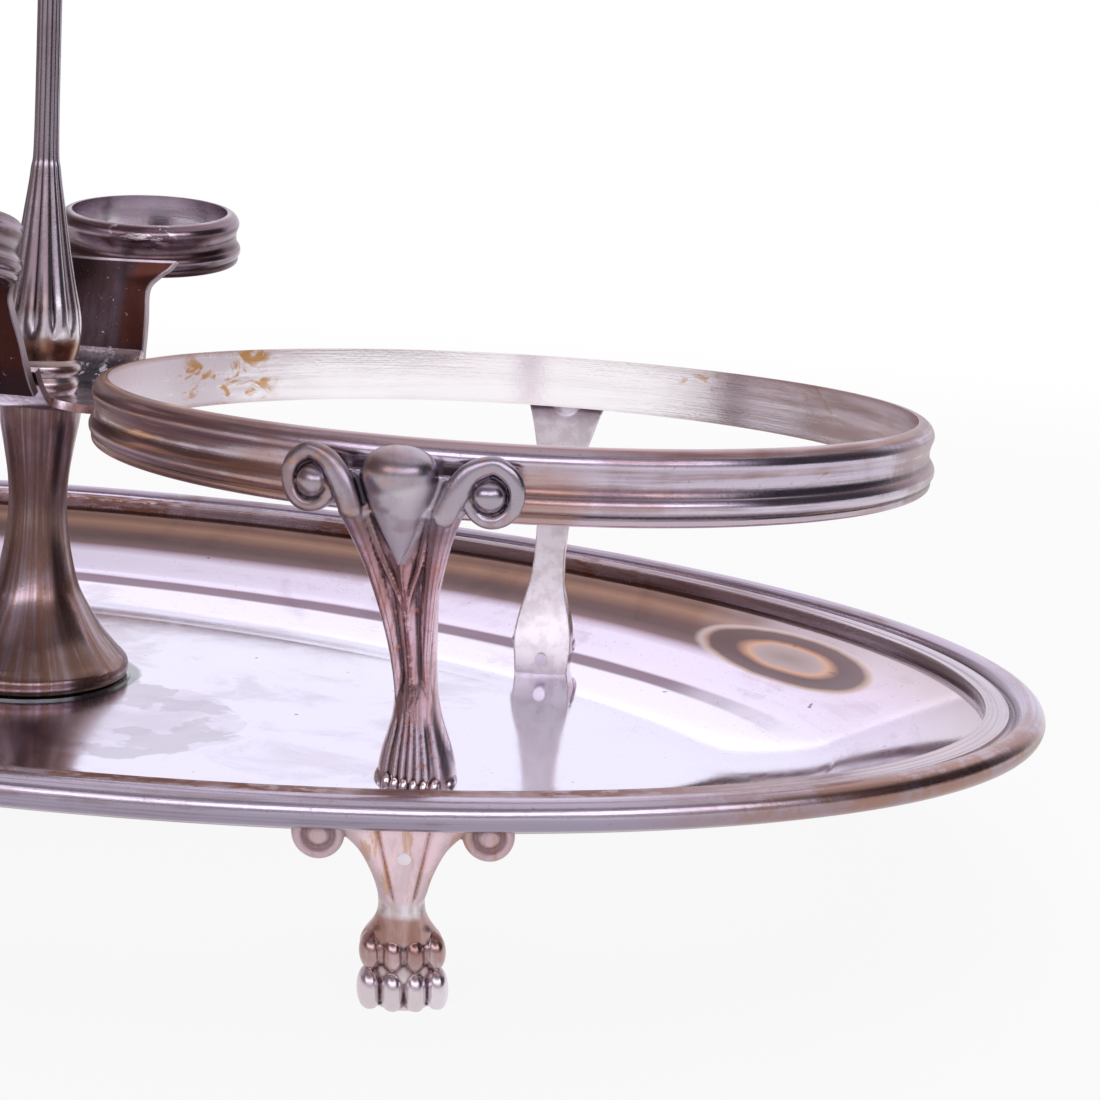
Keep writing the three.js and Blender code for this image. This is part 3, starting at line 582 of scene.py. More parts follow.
def leg_finish(n, colour, rough):
    """Striations and a rust line on the shaft, a frosted front to the boss, a pale back and copper specks."""
    share = n.attribute("share")
    shaft = n.between(share, 0.10, 0.24, 0.70, 0.80)
    fibres = n.span(n.streaks(60.0, 1900.0, 4.0, 0.6, 0.2), 0.44, 0.62)
    colour = n.tint(colour, (0.30, 0.16, 0.12), fibres, shaft, 0.45)
    ridges = n.fall(n.attribute("hollow"), -0.45, -0.1)
    colour = n.tint(colour, WORN_WHITE, ridges, n.fall(share, 0.22, 0.30), 0.85)
    across = n.maths("ADD", n.attribute("across"), n.swing(n.noise(260.0, 3.0), 0.5))
    middle = n.fall(n.maths("ABSOLUTE", across), 0.12, 0.34)
    run = n.between(share, 0.28, 0.34, 0.60, 0.72)
    colour = n.tint(colour, (0.20, 0.07, 0.045), middle, run, n.span(n.noise(900.0, 4.0, 0.7), 0.38, 0.55), 0.8)
    colour = n.tint(colour, COPPER, n.span(n.noise(1100.0, 3.0, 0.6), 0.60, 0.66), 0.5)
    frost = n.times(n.attribute("frost"), n.span(n.noise(330.0), 0.40, 0.52, 0.55, 1.0))
    colour = n.mix(frost, colour, (0.72, 0.66, 0.72))
    inner = n.attribute("inner")
    pale = n.mix(n.span(n.noise(420.0, 5.0, 0.65), 0.42, 0.60), (1.0, 0.96, 0.98), (0.84, 0.78, 0.79))
    colour = n.tint(colour, pale, inner, 0.9)
    matt = n.maths("ADD", n.times(frost, 0.30), n.times(inner, 0.22))
    matt = n.maths("MULTIPLY_ADD", n.span(share, 0.70, 0.80), 0.10, matt)
    return colour, n.maths("ADD", matt, rough)


def foot_finish(n, colour, rough):
    """A frosted, stained panel over the neck, a painted highlight band round the neck with painted shade at its sides,
    and a polished paw below it.
    """
    height = n.axes(n.place())[2]
    edge = n.attribute("edge")
    hollow = n.attribute("hollow")
    ragged = n.maths("MULTIPLY_ADD", n.noise(500.0, 3.0), 0.0012, height)
    panel = n.span(ragged, 0.0091, 0.0097)
    # Painted highlight: a bright band round the neck; its middle is lightened and its sides get painted shade.
    neck = n.between(ragged, 0.0080, 0.0086, 0.0090, 0.0095)
    neck = n.times(neck, n.span(n.noise(420.0, 3.0), 0.40, 0.60, 0.1, 0.7))
    middle = n.fall(edge, 0.5, 0.8)
    colour = n.tint(colour, (0.90, 0.86, 0.91), neck, middle)
    # Painted shade at the sides of the neck's highlight band.
    colour = n.tint(colour, (0.20, 0.15, 0.17), neck, n.maths("SUBTRACT", 1.0, middle))
    toes = n.times(n.fall(height, 0.0030, 0.0036), n.fall(hollow, 0.0, 0.4))
    colour = n.tint(colour, (0.88, 0.83, 0.90), toes, 0.5)
    tips = n.between(ragged, 0.0026, 0.0036, 0.0040, 0.0046)
    colour = n.tint(colour, (0.34, 0.22, 0.20), tips, 0.45)
    drips = n.maths("ADD", n.noise((900.0, 900.0, 170.0), 5.0, 0.65, 0.6), n.span(hollow, 0.0, 0.5, 0.0, 0.10))
    frosted = n.mix(n.noise(240.0), (0.98, 0.80, 0.87), (0.84, 0.66, 0.68))
    frosted = n.tint(frosted, (0.74, 0.42, 0.18), n.span(drips, 0.53, 0.60), 0.70)
    border = n.maths("ADD", edge, n.swing(n.noise(300.0), 0.8))
    frosted = n.mix(n.span(border, 0.55, 0.95, 0.0, 0.65), frosted, (0.50, 0.36, 0.38))
    cloud = n.span(n.noise((500.0, 500.0, 240.0), 5.0, 0.65), 0.44, 0.60, 0.0, 0.45)
    frosted = n.mix(cloud, frosted, (0.60, 0.50, 0.52))
    # Painted shade in the panel's grooves and hollows.
    frosted = n.mix(n.span(hollow, 0.2, 0.9, 0.0, 0.7), frosted, (0.20, 0.15, 0.14))
    colour = n.mix(panel, colour, frosted)
    return colour, n.maths("ADD", n.times(panel, 0.42), n.times(rough, 1.25))


def strap_marks(n, colour, rough):
    """Bright worn edges, a red-brown right part and painted shade in the crease at the strap's foot."""
    share = n.attribute("share")
    side = n.attribute("side")
    wander = n.swing(n.noise(300.0), 0.06)
    red = n.span(n.maths("ADD", side, n.times(wander, 4.0)), 0.35, 0.60)
    colour = n.tint(colour, (0.10, 0.030, 0.019), red, 0.65)
    # Painted shade: the crease at the strap's foot darkened to near black.
    crease = n.fall(n.maths("ADD", share, wander), 0.16, 0.24)
    colour = n.tint(colour, (0.035, 0.025, 0.03), crease, 0.6)
    lip = n.span(n.maths("ADD", share, n.times(wander, 0.4)), 0.945, 0.965)
    worn = n.span(n.maths("ADD", n.maths("ABSOLUTE", side), wander), 0.955, 0.985)
    bright = n.maths("MAXIMUM", lip, n.times(worn, 0.7))
    colour = n.tint(colour, (0.62, 0.54, 0.58), bright, 0.8)
    return n.tint(colour, (0.50, 0.40, 0.40), n.span(n.noise(1300.0, 2.0), 0.70, 0.74), 0.6), rough


def ring_stains(n, colour, rough):
    """Back wall brightened in its middle as a painted reflection, with yellow-brown runs and a brown right end;
    outside, dark streaks and painted copper glints on the left, and copper by the legs.
    """
    inner = n.fall(n.attribute("zone"), 0.40, 0.44)
    outer = n.maths("SUBTRACT", 1.0, inner)
    out = n.maths("ABSOLUTE", n.axes(n.place())[0])
    # Painted reflection: the middle of the ring's back wall lightened towards white.
    bright = n.times(n.between(out, 0.012, 0.026, 0.056, 0.090), inner)
    colour = n.tint(colour, (1.0, 0.96, 0.98), bright, 0.85)
    rough = n.times(rough, n.maths("MULTIPLY_ADD", bright, -0.5, 1.0))
    runs = n.span(n.noise((230.0, 230.0, 420.0), 5.0, 0.6, 1.4), 0.50, 0.60)
    for centre, half in (
        ((14.2, 11, 40), (3, 3.4, 3)),
        ((16.8, 17.5, 39.8), (4, 5, 2.4)),
        ((17.6, 19.4, 43), (3, 2.6, 0.9)),
        ((69, 36, 42.4), (4, 4, 1.0)),
        ((-20, 23, 40), (5, 5.5, 3)),
    ):
        colour = n.tint(colour, YELLOW_STAIN, n.inside(centre, half, 0.35, 1.2), inner, runs, 0.9)
    patches = n.span(n.streaks(40.0, 420.0), 0.40, 0.60, 0.35, 1.0)
    colour = n.tint(colour, (0.40, 0.27, 0.26), n.span(out, 0.060, 0.086), inner, patches, 0.85)
    left = n.fall(out, 0.026, 0.044, 0.25)
    lines = n.span(n.streaks(14.0, 2300.0, 4.0, 0.65), 0.48, 0.60)
    colour = n.tint(colour, (0.09, 0.055, 0.055), lines, left, n.times(outer, 0.75))
    broad = n.span(n.streaks(30.0, 520.0, 4.0, 0.6), 0.40, 0.60, 0.2, 1.0)
    colour = n.tint(colour, (0.32, 0.16, 0.10), n.fall(out, 0.030, 0.046), n.times(outer, broad), 0.8)
    # Painted highlights: bright copper glints streaked over the ring's outer left.
    glints = n.span(n.streaks(60.0, 1500.0, 4.0, 0.6, 0.4), 0.55, 0.63)
    colour = n.tint(colour, (0.80, 0.44, 0.25), glints, left, n.times(outer, 0.75))
    for x in (40.5, 64.0, -40.5, -64.0):
        for y in (-41, 41):
            by_leg = n.inside((x, y, 39.4), (3.6, 4, 2.6), 0.5, 1.2)
            colour = n.tint(colour, (0.40, 0.21, 0.14), by_leg, outer, 0.6)
    return colour, rough


def stopper_marks(n, colour, rough):
    """Bright worn places on the bead's near side."""
    worn = n.span(n.noise((300.0, 300.0, 900.0), 4.0, 0.6, 0.5), 0.50, 0.56)
    outer = n.span(n.attribute("zone"), 0.44, 0.48)
    for side in (1, -1):
        near = n.inside((4 * side, 17 * side, 56.6), (4, 3, 1.7), 0.3, 0.8)
        colour = n.tint(colour, (0.95, 0.86, 0.90), near, outer, worn, 0.85)
    return colour, rough


def pale_specks(n, colour, rough):
    return n.tint(colour, (0.95, 0.88, 0.93), n.span(n.noise(620.0, 4.0, 0.7), 0.54, 0.62), 0.6), rough


def stem_marks(n, colour, rough):
    """A painted highlight on the belly over an orange-brown foot, and dark flutes above."""
    height = n.maths("ADD", n.attribute("share"), n.swing(n.noise(400.0, 3.0), 0.8))
    colour = n.tint(colour, (0.22, 0.18, 0.22), n.span(height, 5.2, 8.5), 0.55)
    colour = n.tint(colour, (0.40, 0.20, 0.11), n.fall(height, 1.6, 2.6), 0.75)
    # Painted highlight: the stem's belly lightened towards white all round.
    return n.tint(colour, (0.92, 0.86, 0.92), n.between(height, 2.2, 3.0, 4.4, 6.0), 0.8), rough


def painted_reflection_bands(n, colour, rough):
    """Broad darker bands up a turned piece: painted reflections of dark surroundings."""
    bands = n.streaks(8.0, 230.0, 4.0, 0.6, 0.2)
    return n.mix(n.span(bands, 0.46, 0.60, 0.0, 0.7), colour, (0.17, 0.10, 0.085)), rough


def tray_marks(n, colour, rough):
    """Bands of tarnish and painted reflection on the slope, a patch and a green line at the column's foot, specks and
    scratches.
    """
    x, y, _ = n.axes(n.place())
    wander = n.maths("SUBTRACT", n.streaks(22.0, 90.0, 3.0), 0.5)
    zone = n.maths("MULTIPLY_ADD", wander, 0.035, n.attribute("zone"))
    out = n.maths("MULTIPLY_ADD", n.noise(45.0, 3.0), 0.03, n.maths("ABSOLUTE", x))
    # Behind the rings the slope gets darker bands: tarnish together with painted reflection of dark surroundings.
    tarnished = n.times(n.fall(out, 0.082, 0.104), n.span(y, 0.006, 0.016))
    bands = n.mix(tarnished, n.ramp(zone, PLAIN_BANDS), n.ramp(zone, SLOPE_BANDS))
    colour = stain_rings(n, n.mix(1.0, colour, bands, "MULTIPLY"), x, y)
    patch = n.inside((6, -11, 7), (23, 14, 30), 0.025, 0.55)
    holes = n.fall(n.noise(90.0), 0.52, 0.55, 0.35)
    colour = n.tint(colour, (0.48, 0.43, 0.50), patch, n.times(holes, 0.62))
    green = n.inside((0, 0, 7.3), (11.7, 11.7, 11.7), 0.03, 0.15)
    colour = n.tint(colour, (0.22, 0.25, 0.22), green, 0.8)
    colour = n.tint(colour, (0.20, 0.14, 0.14), n.span(n.noise(420.0, 2.0), 0.735, 0.76), 0.8)
    return colour, n.maths("MULTIPLY_ADD", patch, 0.05, rough)


def stain_rings(n, colour, x, y):
    """An oval stain of dark and copper rings on the slope behind the right bottle."""
    flow = n.axes(n.attribute("flow", "Vector"))[0]
    along = n.times(n.maths("SUBTRACT", flow, 0.039), 1 / 0.0165)
    inset = n.times(n.maths("SUBTRACT", n.attribute("zone"), 0.315), 1 / 0.135)
    away = n.maths("SQRT", n.maths("ADD", n.times(along, along), n.times(inset, inset)))
    ragged = n.maths("MULTIPLY_ADD", n.noise(160.0, 3.0), 0.12, n.maths("SUBTRACT", away, 0.06))
    here = n.times(n.span(x, 0.0, 0.01), n.span(y, 0.0, 0.005))
    return n.tint(colour, n.ramp(ragged, STAIN_BANDS), n.fall(ragged, 0.88, 0.98), n.times(here, 0.9))


# Colour bands of the tray by inset from the rim bead (1 at the slope's inner end): behind the rings, where
# the slope is tarnished, and elsewhere. Their darker browns are tarnish with painted reflection of darker
# surroundings. Then those of its oval stain, outwards from its middle.
SLOPE_BANDS = (
    (0.0, (0.24, 0.16, 0.13)), (0.14, (0.26, 0.17, 0.13)), (0.19, (0.20, 0.11, 0.08)), (0.23, (0.34, 0.20, 0.13)),
    (0.29, (0.17, 0.10, 0.085)), (0.33, (0.15, 0.10, 0.09)), (0.375, (0.24, 0.16, 0.15)),
    (0.40, (0.60, 0.50, 0.56)), (0.43, (0.86, 0.80, 0.88)), (0.575, (0.88, 0.82, 0.92)),
    (0.59, (0.27, 0.19, 0.23)), (0.645, (0.28, 0.20, 0.24)), (0.66, (0.92, 0.89, 0.96)), (1.0, (0.96, 0.95, 1.0)),
)
PLAIN_BANDS = (
    (0.0, (0.50, 0.42, 0.42)), (0.14, (0.62, 0.53, 0.53)), (0.20, (0.68, 0.59, 0.60)), (0.32, (0.80, 0.70, 0.78)),
    (0.50, (0.84, 0.78, 0.86)), (0.70, (0.92, 0.90, 0.96)), (1.0, (0.94, 0.93, 1.0)),
)
STAIN_BANDS = (
    (0.0, (0.30, 0.22, 0.20)), (0.34, (0.42, 0.33, 0.32)), (0.42, (0.60, 0.36, 0.24)), (0.50, (0.34, 0.18, 0.12)),
    (0.56, (0.12, 0.07, 0.07)), (0.80, (0.14, 0.09, 0.09)), (0.86, (0.45, 0.32, 0.26)), (1.0, (0.8, 0.72, 0.74)),
)
# Colour bands of the moulded band: 0 to 0.4 up its inner wall, 0.5 to 1 up its outside
RING_ZONES = (
    (0.0, (0.72, 0.60, 0.56)), (0.04, (1.0, 0.98, 1.0)), (0.36, (0.98, 0.95, 0.97)), (0.39, (0.72, 0.58, 0.54)),
    (0.5, (0.60, 0.50, 0.52)), (0.56, (0.56, 0.48, 0.53)), (0.60, (0.68, 0.62, 0.69)), (0.65, (0.76, 0.71, 0.79)),
    (0.69, (0.56, 0.48, 0.53)), (0.77, (0.66, 0.60, 0.68)), (0.84, (0.60, 0.53, 0.60)), (0.90, (0.70, 0.64, 0.72)),
    (0.95, (0.62, 0.54, 0.60)), (0.985, (0.36, 0.25, 0.24)), (1.0, (0.52, 0.42, 0.42)),
)
STOPPER_ZONES = (
    (0.0, (0.62, 0.56, 0.58)), (0.10, (0.86, 0.84, 0.88)), (0.30, (1.0, 1.0, 1.0)), (0.39, (0.70, 0.64, 0.66)),
    (0.5, (0.26, 0.19, 0.19)), (0.62, (0.42, 0.35, 0.38)), (0.70, (0.24, 0.17, 0.17)), (0.80, (0.36, 0.29, 0.32)),
    (0.90, (0.46, 0.38, 0.42)), (0.96, (0.30, 0.22, 0.24)), (0.99, (0.22, 0.15, 0.17)), (1.0, (0.60, 0.52, 0.56)),
)
# Colour bands of the rim: 0 to 0.36 over the inner ridge, 0.4 to 1 over the bead to its underside
RIM_ZONES = (
    (0.0, (0.60, 0.48, 0.44)), (0.20, (0.66, 0.56, 0.56)), (0.27, (0.98, 0.94, 0.98)), (0.33, (0.72, 0.52, 0.46)),
    (0.38, (0.30, 0.24, 0.26)), (0.43, (0.80, 0.74, 0.80)), (0.60, (0.92, 0.86, 0.94)), (0.75, (1.0, 0.97, 1.0)),
    (0.79, (0.62, 0.58, 0.67)), (0.92, (0.54, 0.50, 0.58)), (0.96, (0.90, 0.86, 0.94)), (1.0, (0.95, 0.92, 1.0)),
)
# Colour bands up the legs and up the feet. The legs' darker top bands, over the scrolls, are painted shade.
LEG_ZONES = (
    (0.0, (1.0, 0.98, 1.0)), (0.16, (1.0, 0.97, 0.98)), (0.25, (0.95, 0.84, 0.80)), (0.38, (0.90, 0.76, 0.70)),
    (0.62, (0.92, 0.78, 0.73)), (0.74, (0.88, 0.78, 0.79)), (0.81, (0.56, 0.51, 0.55)), (0.88, (0.48, 0.45, 0.50)),
)
FOOT_ZONES = (
    (0.0, (1.0, 0.98, 1.0)), (0.22, (0.98, 0.94, 0.98)), (0.27, (0.82, 0.70, 0.68)), (0.36, (0.64, 0.46, 0.40)),
    (0.46, (0.68, 0.49, 0.43)), (0.49, (1.0, 1.0, 1.0)), (0.55, (1.0, 1.0, 1.0)),
)

rim_plate = plated(
    "rim_plate", (0.60, 0.56, 0.63), (0.38, 0.28, 0.26), 0.32, hollow_shade_share=0.6, streak=0.65,
    zones=("zone", RIM_ZONES), roughness=(0.16, 0.32), extra=rim_marks,
)
ring_plate = plated(
    "ring_plate", (0.92, 0.89, 0.95), (0.60, 0.47, 0.46), 0.42, streak=0.65, stain=(0.56, 0.36, 0.14),
    stain_share=0.10, zones=("zone", RING_ZONES), extra=ring_stains, bare=("zone", 0.45),
    browner=[((16, -18, 40), (34, 26, 30)), ((-16, 18, 40), (34, 26, 30)), ((90, 12, 42), (14, 24, 8))],
)
stopper_plate = plated(
    "stopper_plate", (0.85, 0.80, 0.86), (0.34, 0.25, 0.26), 0.5, streak=0.6,
    zones=("zone", STOPPER_ZONES), bare=("zone", 0.45), extra=stopper_marks,
)
leg_plate = plated(
    "leg_plate", (0.86, 0.80, 0.84), (0.70, 0.54, 0.50), 0.45, streak=0.15,
    zones=("share", LEG_ZONES), hollow_shade_share=0.9, roughness=(0.13, 0.28), extra=leg_finish,
)
foot_plate = plated(
    "foot_plate", (0.74, 0.67, 0.73), (0.50, 0.38, 0.37), 0.5, streak=0.3,
    zones=("share", FOOT_ZONES), roughness=(0.12, 0.24), extra=foot_finish,
)
# The column's darkened clean colour is a painted reflection of the dark front.
column_plate = plated("column_plate", (0.38, 0.30, 0.33), (0.24, 0.14, 0.11), 0.6, extra=painted_reflection_bands)
bridge_plate = plated("bridge_plate", (0.80, 0.72, 0.78), (0.42, 0.31, 0.31), 0.5, streak=0.3, extra=pale_specks)
strap_plate = plated(
    "strap_plate", (0.058, 0.038, 0.044), (0.045, 0.026, 0.028), 0.6, streak=0.3,
    roughness=(0.26, 0.42), extra=strap_marks,
)
handle_plate = plated("handle_plate", (0.80, 0.75, 0.80), (0.42, 0.31, 0.29), 0.5)
stem_plate = plated("stem_plate", (0.80, 0.75, 0.80), (0.42, 0.31, 0.29), 0.5, extra=stem_marks)
brass = plated("dull_brass", (0.62, 0.48, 0.28), (0.36, 0.25, 0.14), 0.6, hollow_shade_share=0.6, roughness=(0.3, 0.5))
pin_plate = plated("pin_plate", (0.86, 0.80, 0.86), (0.66, 0.58, 0.62), 0.4, hollow_shade_share=0.3, roughness=(0.3, 0.4))
tray_plate = plated(
    "tray_plate", (0.90, 0.88, 0.95), (0.78, 0.74, 0.80), 0.3, streak=0.25, hollow_shade_share=0.0,
    roughness=(0.05, 0.14), relief=0.015, extra=tray_marks,
)


# Tray and rim band

OVAL_STEPS = 360
oval_turn = full_turn(OVAL_STEPS)
oval_line = np.stack([HALF_LENGTH * np.cos(oval_turn), HALF_WIDTH * np.sin(oval_turn)], -1)
oval_normal = unit(np.stack([np.cos(oval_turn) / HALF_LENGTH, np.sin(oval_turn) / HALF_WIDTH], -1))
oval_steps = np.linalg.norm(np.diff(oval_line, axis=0, append=oval_line[:1]), axis=1)
oval_along = np.abs(np.cumsum(oval_steps) - oval_steps.sum() / 2)


def swept(section):
    """Rings of points from a section of (inset, height), swept round the rim's oval, and its flow lines."""
    flat = oval_line[:, None] - oval_normal[:, None] * section[None, :, :1]
    height = np.ones((OVAL_STEPS, 1, 1)) * section[None, :, 1:]
    steps = np.linalg.norm(np.diff(section, axis=0, prepend=section[:1]), axis=1)
    across = np.outer(np.ones(OVAL_STEPS), np.cumsum(steps))
    along = np.outer(oval_along, np.ones(len(section)))
    return np.concatenate([flat, height], -1), np.stack([along, across, np.zeros_like(along)], -1)


def lowered(line, distance):
    """A line of (inset, height) moved down, square to itself."""
    ahead = unit(np.gradient(line, axis=0))
    return line + distance * np.stack([ahead[:, 1], -ahead[:, 0]], -1)


def make_tray():
    slope = spline(SLOPE_SHARES, 60) * (SLOPE_WIDTH, WELL_HEIGHT - FLANGE_HEIGHT) + (RIM_BAND_WIDTH, FLANGE_HEIGHT)
    face = np.vstack([[FLANGE_EDGE, FLANGE_HEIGHT], slope])
    section = np.vstack([face[::-1], lowered(face, SHEET_THICKNESS)])
    rings, flow = swept(section)
    inner = [
        (ROD_HOLE_RADIUS, WELL_HEIGHT - SHEET_THICKNESS),
        (ROD_HOLE_RADIUS, column_low[2]),
        (COLUMN_SEAT_RADIUS, column_low[2]),
        (COLUMN_SEAT_RADIUS, WELL_HEIGHT),
    ]
    circle = np.stack([np.cos(oval_turn), np.sin(oval_turn)], -1)
    middle = [np.concatenate([circle * radius, np.full((OVAL_STEPS, 1), z)], -1) for radius, z in inner]
    mesh = mesh_of("tray_sheet", *lofted(np.concatenate([np.stack(middle, 1), rings], 1), True))
    flow = np.concatenate([np.repeat(flow[:, :1], len(inner), 1), flow], 1)
    zone = np.concatenate([np.ones(len(inner)), np.clip(section[:, 0] / INSET_SPAN, 0, 1)])
    store(mesh, flow=flow.reshape(-1, 3) * MM, zone=np.tile(zone, OVAL_STEPS), hollow=np.zeros(len(mesh.vertices)))
    add_piece(mesh, tray_plate, ["tray"], sharp=50)


def make_rim():
    turn = np.radians(np.arange(10, 271, 10))
    bead = BEAD_RADIUS * np.stack([np.cos(turn), np.sin(turn)], -1)
    section = np.vstack([RIM_RIDGE, RIM_GROOVE, bead, [(BEAD_RADIUS / 2, -RIM_UNDERSIDE)]])
    section[:, 1] += RIM_HEIGHT
    rings, flow = swept(section)
    mesh = mesh_of("rim_moulding", *lofted(rings, True))
    zone = np.concatenate([np.linspace(0, 0.36, len(RIM_RIDGE + RIM_GROOVE)), np.linspace(0.4, 1, len(bead)), [1]])
    hollows = np.tile(outline_hollows(section, 0.5, 0.12), OVAL_STEPS)
    store(mesh, flow=flow.reshape(-1, 3) * MM, zone=np.tile(zone, OVAL_STEPS), hollow=hollows)
    add_piece(mesh, rim_plate, ["rim_band"])


# Rings

def make_band(name, bore_radius, facets, placed, material, node):
    """A ring of the moulded band, its top edge at height 0 until placed() moves its points."""
    inner = np.stack([np.zeros(14), np.linspace(0.97, 0.03, 14)], -1)
    outline = np.vstack([spline(BAND[::-1], 84), inner])
    outline = np.stack([bore_radius + BAND_THICKNESS * outline[:, 0], BAND_HEIGHT * (outline[:, 1] - 1)], -1)
    points, faces, flow, hollows = turned(outline, facets)
    up = 1 + points[:, 2] / BAND_HEIGHT
    outside = np.hypot(points[:, 0], points[:, 1]) > bore_radius + 0.01
    mesh = mesh_of(name, placed(points), faces)
    store(mesh, flow=flow * MM, zone=np.where(outside, 0.5 + 0.5 * up, 0.4 * up), hollow=hollows)
    add_piece(mesh, material, [node])


def make_bottle_ring(side, middle_x):
    def placed(points):
        return points + (middle_x, 0, RING_TOP)

    make_band(f"bottle_band_{side}", RING_BORE_RADIUS, 240, placed, ring_plate, f"bottle_ring_{side}")


def turned_to(face):
    """The turn of a part that is drawn for the back."""
    return Matrix.Rotation(math.pi if face == "front" else 0, 4, "Z")


def make_stopper_ring(face, roll):
    tilt = Matrix.Rotation(STOPPER_TILT, 4, "X") @ Matrix.Rotation(roll, 4, "Y")
    matrix = np.array(turned_to(face) @ Matrix.Translation((0, STOPPER_REACH, STOPPER_TOP)) @ tilt)

    def placed(points):
        return points @ matrix[:3, :3].T + matrix[:3, 3]

    make_band(f"stopper_band_{face}", STOPPER_BORE_RADIUS, 120, placed, stopper_plate, f"stopper_ring_{face}")


# Legs

def leg_share(height):
    return (height - LEG_SEAT) / LEG_HEIGHT


def leg_back(share):
    bend = np.clip(share / LEG_BEND, 0, 1)
    return LEG_FOOT_REACH + (LEG_TOP_REACH - LEG_FOOT_REACH) * bend**1.4


def leg_face(x, share):
    """How far out a leg's front lies, without its details."""
    u = np.clip(x / along_table(LEG_WIDTHS, share), -1, 1)
    return leg_back(share) + along_table(LEG_DEPTHS, share) * (0.25 + 0.75 * arch(u))


def grooves(u, middle, width):
    """A groove on either side of the middle."""
    return np.exp(-(((np.abs(u) - middle) / width) ** 2))


def leg_core():
    shares = np.linspace(-0.04, 0.985, 260)
    u = half_circle(120)
    rings = []
    for share, w, d in zip(shares, along_table(LEG_WIDTHS, shares), along_table(LEG_DEPTHS, shares)):
        paw = 1 - smoothstep(0.23, 0.33, share)
        fluted = paw * (1 - smoothstep(0.52, 0.62, np.abs(u)))
        flutes = 0.11 * fluted * (np.cos(2 * np.pi * u / 0.21) - 1) - 0.3 * paw * grooves(u, 0.6, 0.06)
        shaft = smoothstep(0.33, 0.42, share) * (1 - smoothstep(0.66, 0.76, share))
        rib = shaft * (0.24 * np.exp(-((u / 0.13) ** 2)) - 0.32 * grooves(u, 0.36, 0.14))
        x = np.concatenate([w * u, [-0.93 * w, 0.93 * w]])
        y = leg_back(share) + np.concatenate([d * (0.25 + 0.75 * arch(u)) + flutes + rib, [0, 0]])
        rings.append(np.stack([x, y, np.full_like(x, LEG_SEAT + LEG_HEIGHT * share)], -1))
    return lofted(rings)


def strand(side):
    """The raised band that climbs a leg's edge, sweeps outwards and curls into the eye of its scroll."""
    degrees, radii, thicks = np.transpose(STRAND_CURL)
    turn = np.radians(np.linspace(0, degrees[-1], 23))
    radius = np.interp(np.degrees(turn), degrees, radii)
    thick = np.interp(np.degrees(turn), degrees, thicks)
    curl = np.stack([VOLUTE_X + radius * np.sin(turn), VOLUTE_Z + radius * np.cos(turn), thick], -1)
    line = spline(np.vstack([STRAND_CLIMB, curl]), 300)
    out = np.linspace(0, 1, len(line))
    rise = np.interp(out, *np.transpose(STRAND_RISE))
    on_leg = leg_back(np.minimum(leg_share(line[:, 1]), LEG_BEND))
    reach = np.where(out < STRAND_FREE, on_leg, LEG_TOP_REACH) + rise
    return tube(np.stack([side * line[:, 0], reach, line[:, 1]], -1), line[:, 2], 18, 0.72)


def leg_web():
    """The flat back that joins a leg's two raised bands under the ring."""
    rings = []
    for z, half in spline(WEB_WIDTHS, 60):
        near = float(leg_back(min(leg_share(z), LEG_BEND)))
        line = half * half_circle(40)
        front = near + 0.55 + 0.55 * arch(line / half) ** 0.5
        x = np.concatenate([line, line[::-1]])
        y = np.concatenate([front, np.full(40, near)])
        rings.append(np.stack([x, y, np.full_like(x, z)], -1))
    return lofted(rings)


def scroll_disc(side):
    points, faces, _, _ = turned([(0.01, 0), (2.3, 0), (2.3, 1.3), (2.1, 1.45), (0.01, 1.45)], 48)
    return facing_front(points) + (side * VOLUTE_X, LEG_TOP_REACH - 0.1, VOLUTE_Z), faces


def boss():
    """The drop-shaped boss, leaning back towards its tip."""
    points, faces, _, _ = turned(spline(BOSS_SHAPE, 60), 64)
    low, high = BOSS_SHAPE[0][1], BOSS_SHAPE[-1][1] - 2
    back = BOSS_LEAN * np.clip((high - points[:, 2]) / (high - low), 0, 1) ** 1.2
    points = points * (1, 0.95, 1)
    points[:, 1] += LEG_TOP_REACH + 1.0 - back
    return points, faces


def leg_details():
    """Ridges in a V beside and under the boss, a small leaf over the paw, and the toes."""
    bodies = []
    for side in (-1, 1):
        line = spline(V_RIDGE, 50)
        front = leg_face(line[:, 0], leg_share(line[:, 1])) + 0.02
        path = np.stack([side * line[:, 0], front, line[:, 1]], -1)
        bodies.append(tube(path, np.linspace(0.34, 0.16, 50), 12))
    leaf = leg_face(0.0, leg_share(LEAF_HEIGHT))
    bodies.append(ellipsoid((0.05, leaf - 0.2, LEAF_HEIGHT), (0.62, 0.5, 2.3), 28))
    for x in np.linspace(-2.2, 2.2, 6):
        bodies.append(ellipsoid((x, leg_face(x, 0.09) - 0.15, TOE_HEIGHT), (0.43, 0.6, 0.9), 16))
    for x in (-3.05, 3.05):
        bodies.append(ellipsoid((x, LEG_FOOT_REACH + 2.6, TOE_HEIGHT), (0.75, 1.3, 1.0), 18))
    return bodies


def boss_front(at):
    """1 on the lower front of the boss, 0 elsewhere, for points in millimetres."""
    x, y, z = at.T
    radii, heights = np.transpose(BOSS_SHAPE)
    radius = np.interp(z, heights, radii, left=-1, right=-1)
    inside = smoothstep(-0.35, 0.15, radius - np.abs(x + 0.25)) * (radius > 0)
    forward = smoothstep(0.2, 0.6, y - leg_back(leg_share(z)) - 0.6)
    return inside * forward * (1 - smoothstep(39.7, 40.4, z + 0.25 * x))


